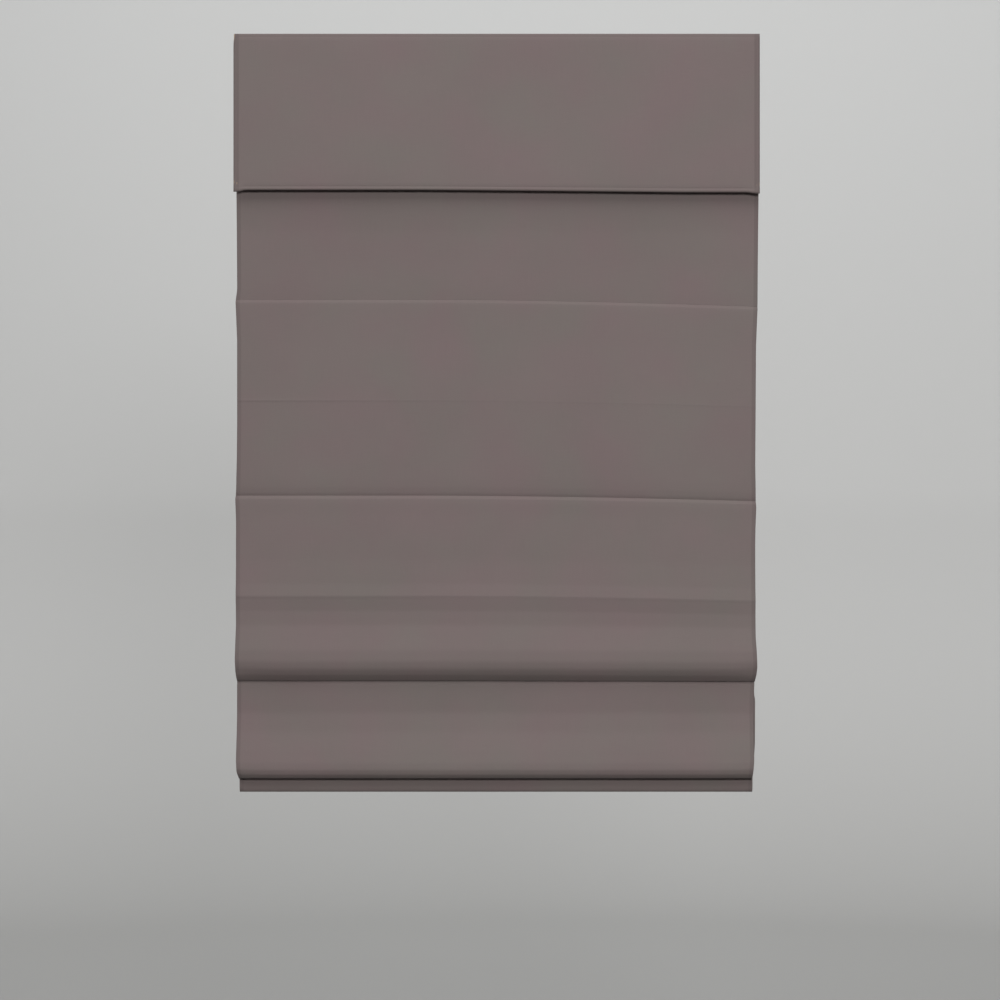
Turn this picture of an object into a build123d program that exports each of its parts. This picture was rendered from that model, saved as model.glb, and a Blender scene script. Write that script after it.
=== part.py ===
from build123d import *
import math
import os

# Roman blind with a flat valance, hung by a metal headrail on two wall brackets.
# Millimetres. The wall is the plane y = 0, the blind hangs in front of it at negative y,
# +x is to the viewer's right and +z is up. The origin is the centre of the four wall holes.

# ---- overall sizes ----
fabric_width = 882.0
valance_overhang = 3.5
valance_height = 264.0
rail_inset = 6.0
rail_depth = 60.0
rail_height = 42.0

# ---- lengths of the cloth between its creases, from the top down ----
cloth_top_drop = 12.0
top_panel = 443.0
middle_panel = 331.0
roll_panel = 290.0
stack_pitch = 24.0
roll_sag = 16.0
low_pleat_depth = 156.0
skirt_length = 180.0
ridge_0_cover = 6.0
ridge_1_fall = 169.0
ridge_2_fall = 172.0

# ---- how far each fold stands in front of the plane the cloth hangs in ----
ridge_0_out = 4.0
ridge_1_out = 8.0
ridge_2_out = 13.0
roll_front = 27.0
roll_rear = 9.0
roll_front_rise = 45.0
low_front = 27.0
low_rear = 14.0
low_front_sink = 60.0
turn_width = 5.0
turn_radius = 2.4
strip_margin = 1.0

# ---- sheet, tape and board thicknesses ----
cloth_thickness = 1.0
tape_thickness = 1.2
tape_height = 30.0
rail_wall = 1.0
rail_lip = 8.0
hook_tape_inset = 2.0
loop_tape_inset = 3.0
board_thickness = 3.0
valance_turn_in = 30.0

# ---- brackets and clips ----
rail_gap = 6.0
rail_top = 15.0
valance_rise = 7.0
valance_standoff = 31.6
bracket_inset = 75.0
bracket_width = 30.0
bracket_plate = 2.0
bracket_shelf_gap = 3.0
bracket_reach = 60.0
bracket_foot = 38.0
bracket_bend = 2.0
wall_hole_spacing = 24.0
ceiling_hole_spacing = 40.0
mount_hole_radius = 2.25
clip_strip = 1.0
clip_width = 20.0
clip_barb = 4.5
clip_slack = 1.5
clip_bend = 0.8
clip_screw_radius = 2.0
clip_screw_head_radius = 3.8
clip_screw_head = 2.4
clip_nut_width = 7.0
clip_nut_height = 3.2
screw_stickout = 1.0
valance_clip_inset = 35.0
valance_clip_width = 25.0
valance_clip_plate = 2.0
valance_clip_pad = 36.0
valance_hook_tip = 3.5
valance_hook_bend = 1.2
valance_arm_bend = 1.8
end_cap_plate = 1.5
end_cap_round = 1.5
end_cap_plug = 8.0
end_cap_wall = 2.0

# ---- battens, pockets, rings and hem ----
batten_height = 12.0
batten_thickness = 2.5
batten_corner = 1.0
batten_end_room = 5.0
pocket_wall = 0.6
pocket_corner = 1.6
pocket_inset = 4.0
ring_radius = 7.0
ring_wire = 1.1
cord_radius = 0.7
bead_radius = 4.0
bead_height = 12.0
bead_round = 1.2
bar_height = 25.0
bar_thickness = 4.0
bar_inset = 12.0
bar_corner = 1.0
bar_cap_length = 10.0
bar_cap_wall = 0.8
bar_cap_corner = 1.6
hem_height = 34.0
hem_return = 6.0
hem_tail = 8.0

# ---- lifting gear ----
station_inset = 115.0
motor_x = -160.0
rod_across_flats = 5.0
rod_overhang = 34.0
spool_radius = 11.0
spool_flange_rise = 3.0
spool_floor_gap = 1.5
spool_flange = 1.5
spool_length = 36.0
journal_radius = 5.0
journal_length = 4.0
winding_width = 8.7
winding_margin = 1.0
cradle_wall = 2.5
cradle_base = 1.5
cradle_depth = 36.0
cradle_post_depth = 26.0
cradle_post_rise = 1.0
grommet_radius = 3.8
grommet_bore = 1.8
grommet_flange_radius = 6.0
grommet_flange = 1.5
gear_module = 0.8
gear_width = 4.0
gear_backlash = 0.12
gear_tip_share = 0.8
gear_root_share = 1.15
gear_pressure_angle = 20.0
drum_flange_sink = 0.9
spring_space = 4.3
drum_flange = 1.5
drum_width = 24.0
drum_journal_radius = 4.2
motor_wall = 1.5
spring_strip = 0.4
spring_width = 20.0
spring_coil_thickness = 2.4
case_gap = 0.6
motor_back_room = 1.5

# ---- clearances ----
fit_gap = 0.3
journal_gap = 0.08
hex_gap = 0.1
ring_gap = 0.2
plug_gap = 0.2

# ---- places worked out from the sizes ----
rail_length = fabric_width - 2 * rail_inset
valance_width = fabric_width + 2 * valance_overhang
rail_end = rail_length / 2
bracket_x = rail_end - bracket_inset
valance_clip_x = rail_end - valance_clip_inset
station_x = rail_end - station_inset
batten_1_drop = cloth_top_drop + top_panel
batten_2_drop = batten_1_drop + middle_panel
batten_3_drop = batten_2_drop + roll_panel
batten_4_drop = batten_3_drop + stack_pitch
hem_drop = batten_4_drop + skirt_length
ridge_0_drop = valance_height - ridge_0_cover
ridge_1_drop = batten_1_drop + ridge_1_fall
ridge_2_drop = batten_2_drop + ridge_2_fall
roll_bottom_drop = batten_3_drop + roll_sag
low_fold_drop = batten_4_drop + low_pleat_depth
rail_bottom = rail_top - rail_height
rail_back = -rail_gap
rail_front = rail_back - rail_depth
valance_top = rail_top + valance_rise
tape_top = valance_top - cloth_top_drop - 2.0
cloth_back = rail_front - 2 * tape_thickness
cloth_mid = cloth_back - cloth_thickness / 2
pocket_depth = batten_thickness + 2 * fit_gap + 2 * pocket_wall
pocket_height = batten_height + 2 * fit_gap + 2 * pocket_wall
pocket_mid = cloth_back + pocket_depth / 2
pocket_back = cloth_back + pocket_depth
pocket_length = fabric_width - 2 * pocket_inset
batten_length = pocket_length - 2 * batten_end_room
bar_length = fabric_width - 2 * bar_inset
ring_y = pocket_back + ring_gap + ring_radius
rod_y = ring_y + spool_radius + cord_radius + fit_gap
floor_top = rail_bottom + rail_wall
spool_flange_radius = spool_radius + spool_flange_rise
rod_z = floor_top + cradle_base + spool_floor_gap + spool_flange_radius
valance_back = cloth_back - cloth_thickness - valance_standoff
valance_thickness = board_thickness + 2 * cloth_thickness
shelf_underside = rail_top + bracket_shelf_gap
batten_drops = {1: batten_1_drop, 2: batten_2_drop, 3: batten_3_drop, 4: batten_4_drop}
station_places = {"left": -station_x, "centre": 0.0, "right": station_x}
bracket_places = {"left": -bracket_x, "right": bracket_x}
gear_tip = gear_tip_share * gear_module
gear_room = rail_back - rail_wall - motor_back_room - motor_wall - case_gap - gear_tip - rod_y
gear_teeth = 2 * math.floor(gear_room / (3 * gear_module))
gear_pitch_radius = gear_module * gear_teeth / 2
drum_flange_radius = gear_pitch_radius - drum_flange_sink
drum_core_radius = drum_flange_radius - spring_space
storage_y = rod_y + 2 * gear_pitch_radius

os.makedirs("parts", exist_ok=True)


def height(drop):
    """Height of a line that lies the given drop below the valance's top edge."""
    return valance_top - drop


# ---- headrail: a roll-formed channel, open at the top between two lips ----
rail_mid_front = rail_front + rail_wall / 2
rail_mid_back = rail_back - rail_wall / 2
rail_section = [
    (rail_front + rail_lip - rail_wall / 2, rail_top - rail_wall / 2),
    (rail_mid_front, rail_top - rail_wall / 2),
    (rail_mid_front, rail_bottom + rail_wall / 2),
    (rail_mid_back, rail_bottom + rail_wall / 2),
    (rail_mid_back, rail_top - rail_wall / 2),
    (rail_back - rail_lip + rail_wall / 2, rail_top - rail_wall / 2),
]
with BuildPart() as headrail:
    with BuildSketch(Plane.YZ.offset(-rail_length / 2)):
        with BuildLine():
            FilletPolyline(*rail_section, radius=[rail_wall] * 4)
            offset(amount=rail_wall / 2, side=Side.BOTH)
        make_face()
    extrude(amount=rail_length)
    with BuildSketch(Plane.XY.offset(rail_bottom)):
        with Locations([(x, ring_y) for x in station_places.values()]):
            Circle(grommet_radius + hex_gap)
    extrude(amount=rail_wall, mode=Mode.SUBTRACT)
headrail.part.label = "headrail"
export_step(headrail.part, "parts/headrail.step")

# ---- end caps: a plate over each open end with a rim that plugs into the channel ----
plug_depth = rail_depth - 2 * rail_wall - 2 * plug_gap
plug_height = rail_height - 2 * rail_wall - 2 * plug_gap
rail_mid_y = (rail_front + rail_back) / 2
rail_mid_z = (rail_top + rail_bottom) / 2
for side, sign in {"left": -1, "right": 1}.items():
    rim_plane = Plane.YZ.offset(sign * rail_length / 2)
    with BuildPart() as end_cap:
        with BuildSketch(rim_plane):
            with Locations((rail_mid_y, rail_mid_z)):
                Rectangle(rail_depth, rail_height)
        extrude(amount=sign * end_cap_plate)
        fillet(end_cap.edges().filter_by(Axis.X), radius=end_cap_round)
        with BuildSketch(rim_plane):
            with Locations((rail_mid_y, rail_mid_z)):
                Rectangle(plug_depth, plug_height)
                Rectangle(
                    plug_depth - 2 * end_cap_wall, plug_height - 2 * end_cap_wall, mode=Mode.SUBTRACT
                )
        extrude(amount=-sign * end_cap_plug)
    end_cap.part.label = f"end_cap_{side}"
    export_step(end_cap.part, f"parts/end_cap_{side}.step")

# ---- wall brackets: a steel angle, with two wall holes and two ceiling holes ----
shelf_mid = shelf_underside + bracket_plate / 2
foot_mid = -bracket_plate / 2
foot_bottom = shelf_underside + bracket_plate - bracket_foot
clip_y = rail_mid_y
for side, x in bracket_places.items():
    with BuildPart() as wall_bracket:
        with BuildSketch(Plane.YZ.offset(x - bracket_width / 2)):
            with BuildLine():
                FilletPolyline(
                    (foot_mid, foot_bottom),
                    (foot_mid, shelf_mid),
                    (-bracket_reach, shelf_mid),
                    radius=[bracket_bend],
                )
                offset(amount=bracket_plate / 2, side=Side.BOTH)
            make_face()
        extrude(amount=bracket_width)
        with BuildSketch(Plane.XZ):
            with Locations((x, wall_hole_spacing / 2), (x, -wall_hole_spacing / 2)):
                Circle(mount_hole_radius)
        extrude(amount=bracket_plate, mode=Mode.SUBTRACT)
        with BuildSketch(Plane.XY.offset(shelf_underside)):
            with Locations(
                (x, clip_y - ceiling_hole_spacing / 2), (x, clip_y + ceiling_hole_spacing / 2)
            ):
                Circle(mount_hole_radius)
            with Locations((x, clip_y)):
                Circle(clip_screw_radius + hex_gap)
        extrude(amount=bracket_plate, mode=Mode.SUBTRACT)
    wall_bracket.part.label = f"wall_bracket_{side}"
    export_step(wall_bracket.part, f"parts/wall_bracket_{side}.step")

# ---- mounting clips: spring strips whose barbs hold the headrail's two lips ----
clip_top = shelf_underside - clip_strip / 2
barb_z = rail_top - rail_wall - fit_gap - clip_strip / 2
clip_front = rail_front + rail_lip + clip_slack
clip_back = rail_back - rail_lip - clip_slack
clip_section = [
    (clip_front - clip_slack - clip_barb, barb_z),
    (clip_front, barb_z),
    (clip_front, clip_top),
    (clip_back, clip_top),
    (clip_back, barb_z),
    (clip_back + clip_slack + clip_barb, barb_z),
]
for side, x in bracket_places.items():
    with BuildPart() as mounting_clip:
        with BuildSketch(Plane.YZ.offset(x - clip_width / 2)):
            with BuildLine():
                FilletPolyline(*clip_section, radius=[clip_bend] * 4)
                offset(amount=clip_strip / 2, side=Side.BOTH)
            make_face()
        extrude(amount=clip_width)
        with BuildSketch(Plane.XY.offset(shelf_underside)):
            with Locations((x, clip_y)):
                Circle(clip_screw_radius + hex_gap)
        extrude(amount=-clip_strip, mode=Mode.SUBTRACT)
    mounting_clip.part.label = f"mounting_clip_{side}"
    export_step(mounting_clip.part, f"parts/mounting_clip_{side}.step")

# ---- clip screws and nuts: one group of each ----
shelf_top = shelf_underside + bracket_plate
head_top = shelf_underside - clip_strip
nut_top = shelf_top + clip_nut_height
with BuildPart() as clip_screws:
    with BuildSketch(Plane.XY.offset(head_top)):
        with Locations([(x, clip_y) for x in bracket_places.values()]):
            Circle(clip_screw_head_radius)
    extrude(amount=-clip_screw_head)
    with BuildSketch(Plane.XY.offset(head_top)):
        with Locations([(x, clip_y) for x in bracket_places.values()]):
            Circle(clip_screw_radius)
    extrude(amount=nut_top + screw_stickout - head_top)
clip_screws.part.label = "clip_screws"
export_step(clip_screws.part, "parts/clip_screws.step")

with BuildPart() as clip_nuts:
    with BuildSketch(Plane.XY.offset(shelf_top)):
        with Locations([(x, clip_y) for x in bracket_places.values()]):
            RegularPolygon(clip_nut_width / 2, 6, major_radius=False)
            Circle(clip_screw_radius + journal_gap, mode=Mode.SUBTRACT)
    extrude(amount=clip_nut_height)
clip_nuts.part.label = "clip_nuts"
export_step(clip_nuts.part, "parts/clip_nuts.step")

# ---- fastening tapes: the hooked one on the headrail, the looped one on the cloth ----
with BuildPart() as hook_tape:
    with BuildSketch(Plane.XZ.offset(-rail_front)):
        with Locations((0, tape_top - tape_height / 2)):
            Rectangle(rail_length - 2 * hook_tape_inset, tape_height)
    extrude(amount=tape_thickness)
hook_tape.part.label = "hook_tape"
export_step(hook_tape.part, "parts/hook_tape.step")

with BuildPart() as loop_tape:
    with BuildSketch(Plane.XZ.offset(-rail_front + tape_thickness)):
        with Locations((0, tape_top - tape_height / 2)):
            Rectangle(fabric_width - 2 * loop_tape_inset, tape_height)
    extrude(amount=tape_thickness)
loop_tape.part.label = "loop_tape"
export_step(loop_tape.part, "parts/loop_tape.step")

# ---- shade cloth: one length, hung in shallow pleats, a drooping roll and a last deep pleat ----
strip_half = pocket_height / 2 + strip_margin
turn_rise = strip_half + cloth_thickness + strip_margin / 2
hem_pocket = bar_thickness + cloth_thickness + 2 * fit_gap
hem_lap = cloth_thickness + fit_gap
cloth_line = [
    # (drop, distance in front of the cloth's hanging plane, bend radius)
    (cloth_top_drop, 0.0, 0),
    (ridge_0_drop, ridge_0_out, 200),
    (batten_1_drop - strip_half, 0.0, 60),
    (batten_1_drop + strip_half, 0.0, 60),
    (ridge_1_drop, ridge_1_out, 90),
    (batten_2_drop - strip_half, 0.0, 30),
    (batten_2_drop + strip_half, 0.0, 30),
    (ridge_2_drop, ridge_2_out, 120),
    (roll_bottom_drop - roll_front_rise, roll_front, 60),
    (roll_bottom_drop - cloth_thickness / 2, roll_front - cloth_thickness, 8.5),
    (roll_bottom_drop - cloth_thickness / 2, roll_rear, 8.0),
    (batten_3_drop - turn_rise, turn_width, turn_radius),
    (batten_3_drop - turn_rise, 0.0, turn_radius),
    (batten_3_drop + strip_half, 0.0, 2.0),
    (batten_4_drop - strip_half, 2 * turn_width, 6.0),
    (batten_4_drop + low_front_sink, low_front - 4 * cloth_thickness, 90),
    (low_fold_drop - cloth_thickness / 2, low_front, 6.0),
    (low_fold_drop - cloth_thickness / 2, low_rear, 6.0),
    (batten_4_drop - turn_rise, turn_width, turn_radius),
    (batten_4_drop - turn_rise, 0.0, turn_radius),
    (hem_drop - cloth_thickness / 2, 0.0, 2.5),
    (hem_drop - cloth_thickness / 2, -hem_pocket, 2.5),
    (hem_drop - hem_height, -hem_pocket, 4.0),
    (hem_drop - hem_height - hem_return, -hem_lap, 4.0),
    (hem_drop - hem_height - hem_return - hem_tail, -hem_lap, 0),
]
cloth_points = [(cloth_mid - out, height(drop)) for drop, out, bend in cloth_line]
cloth_bends = [bend for drop, out, bend in cloth_line[1:-1]]
with BuildPart() as shade_fabric:
    with BuildSketch(Plane.YZ.offset(-fabric_width / 2)):
        with BuildLine():
            FilletPolyline(*cloth_points, radius=cloth_bends)
            offset(amount=cloth_thickness / 2, side=Side.BOTH)
        make_face()
    extrude(amount=fabric_width)
shade_fabric.part.label = "shade_fabric"
export_step(shade_fabric.part, "parts/shade_fabric.step")

# ---- valance: a thin board in a cloth wrap that is turned in all round its back ----
valance_mid_z = valance_top - valance_height / 2
with BuildPart() as valance_board:
    with BuildSketch(Plane.XZ.offset(-valance_back + cloth_thickness)):
        with Locations((0, valance_mid_z)):
            Rectangle(valance_width - 2 * cloth_thickness, valance_height - 2 * cloth_thickness)
    extrude(amount=board_thickness)
valance_board.part.label = "valance_board"
export_step(valance_board.part, "parts/valance_board.step")

with BuildPart() as valance_fabric:
    with BuildSketch(Plane.XZ.offset(-valance_back)):
        with Locations((0, valance_mid_z)):
            Rectangle(valance_width, valance_height)
    extrude(amount=valance_thickness)
    with BuildSketch(Plane.XZ.offset(-valance_back + cloth_thickness)):
        with Locations((0, valance_mid_z)):
            Rectangle(valance_width - 2 * cloth_thickness, valance_height - 2 * cloth_thickness)
    extrude(amount=board_thickness, mode=Mode.SUBTRACT)
    with BuildSketch(Plane.XZ.offset(-valance_back)):
        with Locations((0, valance_mid_z)):
            Rectangle(valance_width - 2 * valance_turn_in, valance_height - 2 * valance_turn_in)
    extrude(amount=cloth_thickness, mode=Mode.SUBTRACT)
valance_fabric.part.label = "valance_fabric"
export_step(valance_fabric.part, "parts/valance_fabric.step")

# ---- valance clips: hooked on the headrail's front lip, with a pad behind the valance ----
hook_z = rail_top - rail_wall - fit_gap - valance_clip_plate / 2
arm_z = rail_top + fit_gap + valance_clip_plate / 2
hook_y = rail_front + rail_lip + valance_clip_plate
pad_y = valance_back + valance_clip_plate / 2
valance_clip_section = [
    (rail_front + valance_hook_tip, hook_z),
    (hook_y, hook_z),
    (hook_y, arm_z),
    (pad_y, arm_z),
    (pad_y, arm_z - valance_clip_pad),
]
valance_clip_bends = [valance_hook_bend, valance_hook_bend, valance_arm_bend]
for side, x in {"left": -valance_clip_x, "centre": 0.0, "right": valance_clip_x}.items():
    with BuildPart() as valance_clip:
        with BuildSketch(Plane.YZ.offset(x - valance_clip_width / 2)):
            with BuildLine():
                FilletPolyline(*valance_clip_section, radius=valance_clip_bends)
                offset(amount=valance_clip_plate / 2, side=Side.BOTH)
            make_face()
        extrude(amount=valance_clip_width)
    valance_clip.part.label = f"valance_clip_{side}"
    export_step(valance_clip.part, f"parts/valance_clip_{side}.step")

# ---- battens in their sewn pockets, with three rings each ----
for number, drop in batten_drops.items():
    with BuildPart() as batten:
        with BuildSketch(Plane.YZ.offset(-batten_length / 2)):
            with Locations((pocket_mid, height(drop))):
                RectangleRounded(batten_thickness, batten_height, batten_corner)
        extrude(amount=batten_length)
    batten.part.label = f"batten_{number}"
    export_step(batten.part, f"parts/batten_{number}.step")

    with BuildPart() as batten_pocket:
        with BuildSketch(Plane.YZ.offset(-pocket_length / 2)):
            with Locations((pocket_mid, height(drop))):
                RectangleRounded(pocket_depth, pocket_height, pocket_corner)
                RectangleRounded(
                    pocket_depth - 2 * pocket_wall,
                    pocket_height - 2 * pocket_wall,
                    pocket_corner - pocket_wall,
                    mode=Mode.SUBTRACT,
                )
        extrude(amount=pocket_length)
    batten_pocket.part.label = f"batten_pocket_{number}"
    export_step(batten_pocket.part, f"parts/batten_pocket_{number}.step")

    with BuildPart() as ring_row:
        for x in station_places.values():
            with BuildSketch(Plane.XZ.offset(-ring_y)):
                with Locations((x + ring_radius - ring_wire, height(drop))):
                    Circle(ring_wire)
            revolve(axis=Axis((x, ring_y, 0), (0, 0, 1)))
    ring_row.part.label = f"ring_row_{number}"
    export_step(ring_row.part, f"parts/ring_row_{number}.step")

# ---- weighted bottom bar in the hem, with a cap on each end ----
bar_mid_y = cloth_mid + hem_pocket / 2
bar_mid_z = height(hem_drop) + cloth_thickness + fit_gap + bar_cap_wall + bar_height / 2
with BuildPart() as bottom_bar:
    with BuildSketch(Plane.YZ.offset(-bar_length / 2)):
        with Locations((bar_mid_y, bar_mid_z)):
            RectangleRounded(bar_thickness - 2 * bar_cap_wall, bar_height, bar_corner)
    extrude(amount=bar_length)
bottom_bar.part.label = "bottom_bar"
export_step(bottom_bar.part, "parts/bottom_bar.step")

for side, sign in {"left": -1, "right": 1}.items():
    cap_plane = Plane.YZ.offset(sign * (bar_length / 2 + bar_cap_wall))
    with BuildPart() as bar_cap:
        with BuildSketch(cap_plane):
            with Locations((bar_mid_y, bar_mid_z)):
                RectangleRounded(bar_thickness, bar_height + 2 * bar_cap_wall, bar_cap_corner)
        extrude(amount=-sign * bar_cap_length)
        with BuildSketch(cap_plane.offset(-sign * bar_cap_wall)):
            with Locations((bar_mid_y, bar_mid_z)):
                RectangleRounded(bar_thickness - 2 * bar_cap_wall, bar_height, bar_corner)
        extrude(amount=-sign * bar_cap_length, mode=Mode.SUBTRACT)
    bar_cap.part.label = f"bar_cap_{side}"
    export_step(bar_cap.part, f"parts/bar_cap_{side}.step")

# ---- cords: down from each spool, through a grommet and the rings, to a bead under the last ring ----
winding_start = -spool_length / 2 + winding_margin
bead_top = height(batten_4_drop) - ring_wire - ring_gap
for side, x in station_places.items():
    with BuildPart() as lift_cord:
        with BuildSketch(Plane.XY.offset(bead_top)):
            with Locations((x, ring_y)):
                Circle(cord_radius)
        extrude(amount=rod_z - bead_top)
    lift_cord.part.label = f"lift_cord_{side}"
    export_step(lift_cord.part, f"parts/lift_cord_{side}.step")

    with BuildPart() as cord_bead:
        with BuildSketch(Plane.XY.offset(bead_top)):
            with Locations((x, ring_y)):
                Circle(bead_radius)
        extrude(amount=-bead_height)
        fillet(cord_bead.edges().filter_by(GeomType.CIRCLE), radius=bead_round)
    cord_bead.part.label = f"cord_bead_{side}"
    export_step(cord_bead.part, f"parts/cord_bead_{side}.step")

    with BuildPart() as cord_grommet:
        with BuildSketch(Plane.XY.offset(rail_bottom)):
            with Locations((x, ring_y)):
                Circle(grommet_radius)
        extrude(amount=rail_wall + cradle_base)
        with BuildSketch(Plane.XY.offset(rail_bottom)):
            with Locations((x, ring_y)):
                Circle(grommet_flange_radius)
        extrude(amount=-grommet_flange)
        with BuildSketch(Plane.XY.offset(rail_bottom - grommet_flange)):
            with Locations((x, ring_y)):
                Circle(grommet_bore)
        extrude(amount=grommet_flange + rail_wall + cradle_base, mode=Mode.SUBTRACT)
    cord_grommet.part.label = f"cord_grommet_{side}"
    export_step(cord_grommet.part, f"parts/cord_grommet_{side}.step")

# ---- lift stations: a spool on journals in an open-topped cradle, with its wound cord ----
spool_half = spool_length / 2 + spool_flange
post_inner = spool_half + fit_gap
cradle_length = 2 * (post_inner + cradle_wall)
post_top = rod_z + journal_radius + cradle_post_rise
cord_shift = winding_start + winding_width + cord_radius + fit_gap
for side, cord_x in station_places.items():
    x = cord_x - cord_shift
    with BuildPart() as lift_cradle:
        with BuildSketch(Plane.XY.offset(floor_top)):
            with Locations((x, rod_y)):
                Rectangle(cradle_length, cradle_depth)
            with Locations((cord_x, ring_y)):
                Circle(grommet_radius + fit_gap, mode=Mode.SUBTRACT)
        extrude(amount=cradle_base)
        for sign in (-1, 1):
            with BuildSketch(Plane.YZ.offset(x + sign * post_inner)):
                with Locations((rod_y, (floor_top + post_top) / 2)):
                    Rectangle(cradle_post_depth, post_top - floor_top)
                with Locations((rod_y, rod_z)):
                    Circle(journal_radius + journal_gap, mode=Mode.SUBTRACT)
                with Locations((rod_y, rod_z + journal_radius)):
                    Rectangle(
                        2 * (journal_radius + journal_gap), 2 * journal_radius, mode=Mode.SUBTRACT
                    )
            extrude(amount=sign * cradle_wall)
    lift_cradle.part.label = f"lift_cradle_{side}"
    export_step(lift_cradle.part, f"parts/lift_cradle_{side}.step")

    with BuildPart() as lift_spool:
        with BuildSketch(Plane.YZ.offset(x - spool_half)):
            with Locations((rod_y, rod_z)):
                Circle(spool_radius)
        extrude(amount=2 * spool_half)
        for sign in (-1, 1):
            with BuildSketch(Plane.YZ.offset(x + sign * spool_length / 2)):
                with Locations((rod_y, rod_z)):
                    Circle(spool_flange_radius)
            extrude(amount=sign * spool_flange)
            with BuildSketch(Plane.YZ.offset(x + sign * spool_half)):
                with Locations((rod_y, rod_z)):
                    Circle(journal_radius)
            extrude(amount=sign * journal_length)
        with BuildSketch(Plane.YZ.offset(x - spool_half - journal_length)):
            with Locations((rod_y, rod_z)):
                RegularPolygon(rod_across_flats / 2 + hex_gap, 6, major_radius=False)
        extrude(amount=2 * (spool_half + journal_length), mode=Mode.SUBTRACT)
    lift_spool.part.label = f"lift_spool_{side}"
    export_step(lift_spool.part, f"parts/lift_spool_{side}.step")

    with BuildPart() as cord_winding:
        with BuildSketch(Plane.YZ.offset(x + winding_start)):
            with Locations((rod_y, rod_z)):
                Circle(spool_radius + hex_gap + 2 * cord_radius)
                Circle(spool_radius + hex_gap, mode=Mode.SUBTRACT)
        extrude(amount=winding_width)
    cord_winding.part.label = f"cord_winding_{side}"
    export_step(cord_winding.part, f"parts/cord_winding_{side}.step")

# ---- lift rod: one hexagonal rod through all three spools and the spring motor ----
with BuildPart() as lift_rod:
    with BuildSketch(Plane.YZ.offset(-station_x - cord_shift - rod_overhang)):
        with Locations((rod_y, rod_z)):
            RegularPolygon(rod_across_flats / 2, 6, major_radius=False)
    extrude(amount=2 * (station_x + rod_overhang))
lift_rod.part.label = "lift_rod"
export_step(lift_rod.part, "parts/lift_rod.step")

# ---- spring motor: two geared drums between a base and a cover that meet on their axes ----
pressure_angle = math.radians(gear_pressure_angle)
base_radius = gear_pitch_radius * math.cos(pressure_angle)
tip_radius = gear_pitch_radius + gear_tip
root_radius = gear_pitch_radius - gear_root_share * gear_module
pitch_half_angle = (math.pi / 2 - gear_backlash) / gear_teeth


def flank_angle(radius):
    """Half the angle that a gear tooth spans at a radius, on an involute flank."""
    turn = math.acos(min(base_radius / radius, 1.0))
    rolled = math.tan(turn) - turn
    return pitch_half_angle + math.tan(pressure_angle) - pressure_angle - rolled


def gear_outline(centre_y, phase):
    """Points round a spur gear on the lift rod's height that has a tooth at the phase angle, in radians."""
    flank = [base_radius, (base_radius + tip_radius) / 2, tip_radius]
    outline = []
    for tooth in range(gear_teeth):
        middle = phase + 2 * math.pi * tooth / gear_teeth
        rise = [(root_radius, middle - flank_angle(base_radius))]
        rise += [(radius, middle - flank_angle(radius)) for radius in flank]
        fall = [(radius, 2 * middle - angle) for radius, angle in reversed(rise)]
        outline += [(centre_y + r * math.cos(a), rod_z + r * math.sin(a)) for r, a in rise + fall]
    return outline


drum_half = drum_width / 2
gear_start = motor_x + drum_half
hub_end = gear_start + gear_width + fit_gap
case_inner_low = motor_x - drum_half - drum_flange - fit_gap
case_low = case_inner_low - motor_wall
case_high = hub_end + motor_wall
drum_places = {"output_drum": (rod_y, 0.0), "storage_drum": (storage_y, math.pi / gear_teeth)}
for drum_name, (drum_y, phase) in drum_places.items():
    with BuildPart() as drum:
        with BuildSketch(Plane.YZ.offset(case_low)):
            with Locations((drum_y, rod_z)):
                Circle(drum_journal_radius)
        extrude(amount=case_high - case_low)
        with BuildSketch(Plane.YZ.offset(motor_x - drum_half)):
            with Locations((drum_y, rod_z)):
                Circle(drum_core_radius)
        extrude(amount=drum_width)
        with BuildSketch(Plane.YZ.offset(motor_x - drum_half)):
            with Locations((drum_y, rod_z)):
                Circle(drum_flange_radius)
        extrude(amount=-drum_flange)
        with BuildSketch(Plane.YZ.offset(gear_start)):
            with BuildLine():
                Polyline(*gear_outline(drum_y, phase), close=True)
            make_face()
        extrude(amount=gear_width)
        if drum_name == "output_drum":
            with BuildSketch(Plane.YZ.offset(case_low)):
                with Locations((drum_y, rod_z)):
                    RegularPolygon(rod_across_flats / 2 + hex_gap, 6, major_radius=False)
            extrude(amount=case_high - case_low, mode=Mode.SUBTRACT)
    drum.part.label = drum_name
    export_step(drum.part, f"parts/{drum_name}.step")

case_front = rod_y - tip_radius - case_gap - motor_wall
case_back = storage_y + tip_radius + case_gap + motor_wall
case_mid_y = (case_front + case_back) / 2
case_mid_x = (case_low + case_high) / 2
cover_top = rod_z + tip_radius + case_gap + motor_wall
case_halves = {"motor_base": (floor_top, rod_z), "motor_cover": (rod_z, cover_top)}
for half_name, (low, high) in case_halves.items():
    with BuildPart() as case_half:
        with BuildSketch(Plane.XY.offset(low)):
            with Locations((case_mid_x, case_mid_y)):
                Rectangle(case_high - case_low, case_back - case_front)
        extrude(amount=high - low)
        hollow_low = low + motor_wall if half_name == "motor_base" else low
        hollow_high = high if half_name == "motor_base" else high - motor_wall
        with BuildSketch(Plane.XY.offset(hollow_low)):
            with Locations((case_mid_x, case_mid_y)):
                Rectangle(
                    case_high - case_low - 2 * motor_wall, case_back - case_front - 2 * motor_wall
                )
        extrude(amount=hollow_high - hollow_low, mode=Mode.SUBTRACT)
        with BuildSketch(Plane.YZ.offset(case_low)):
            with Locations((rod_y, rod_z), (storage_y, rod_z)):
                Circle(drum_journal_radius + journal_gap)
        extrude(amount=case_high - case_low, mode=Mode.SUBTRACT)
    case_half.part.label = half_name
    export_step(case_half.part, f"parts/{half_name}.step")

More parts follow.
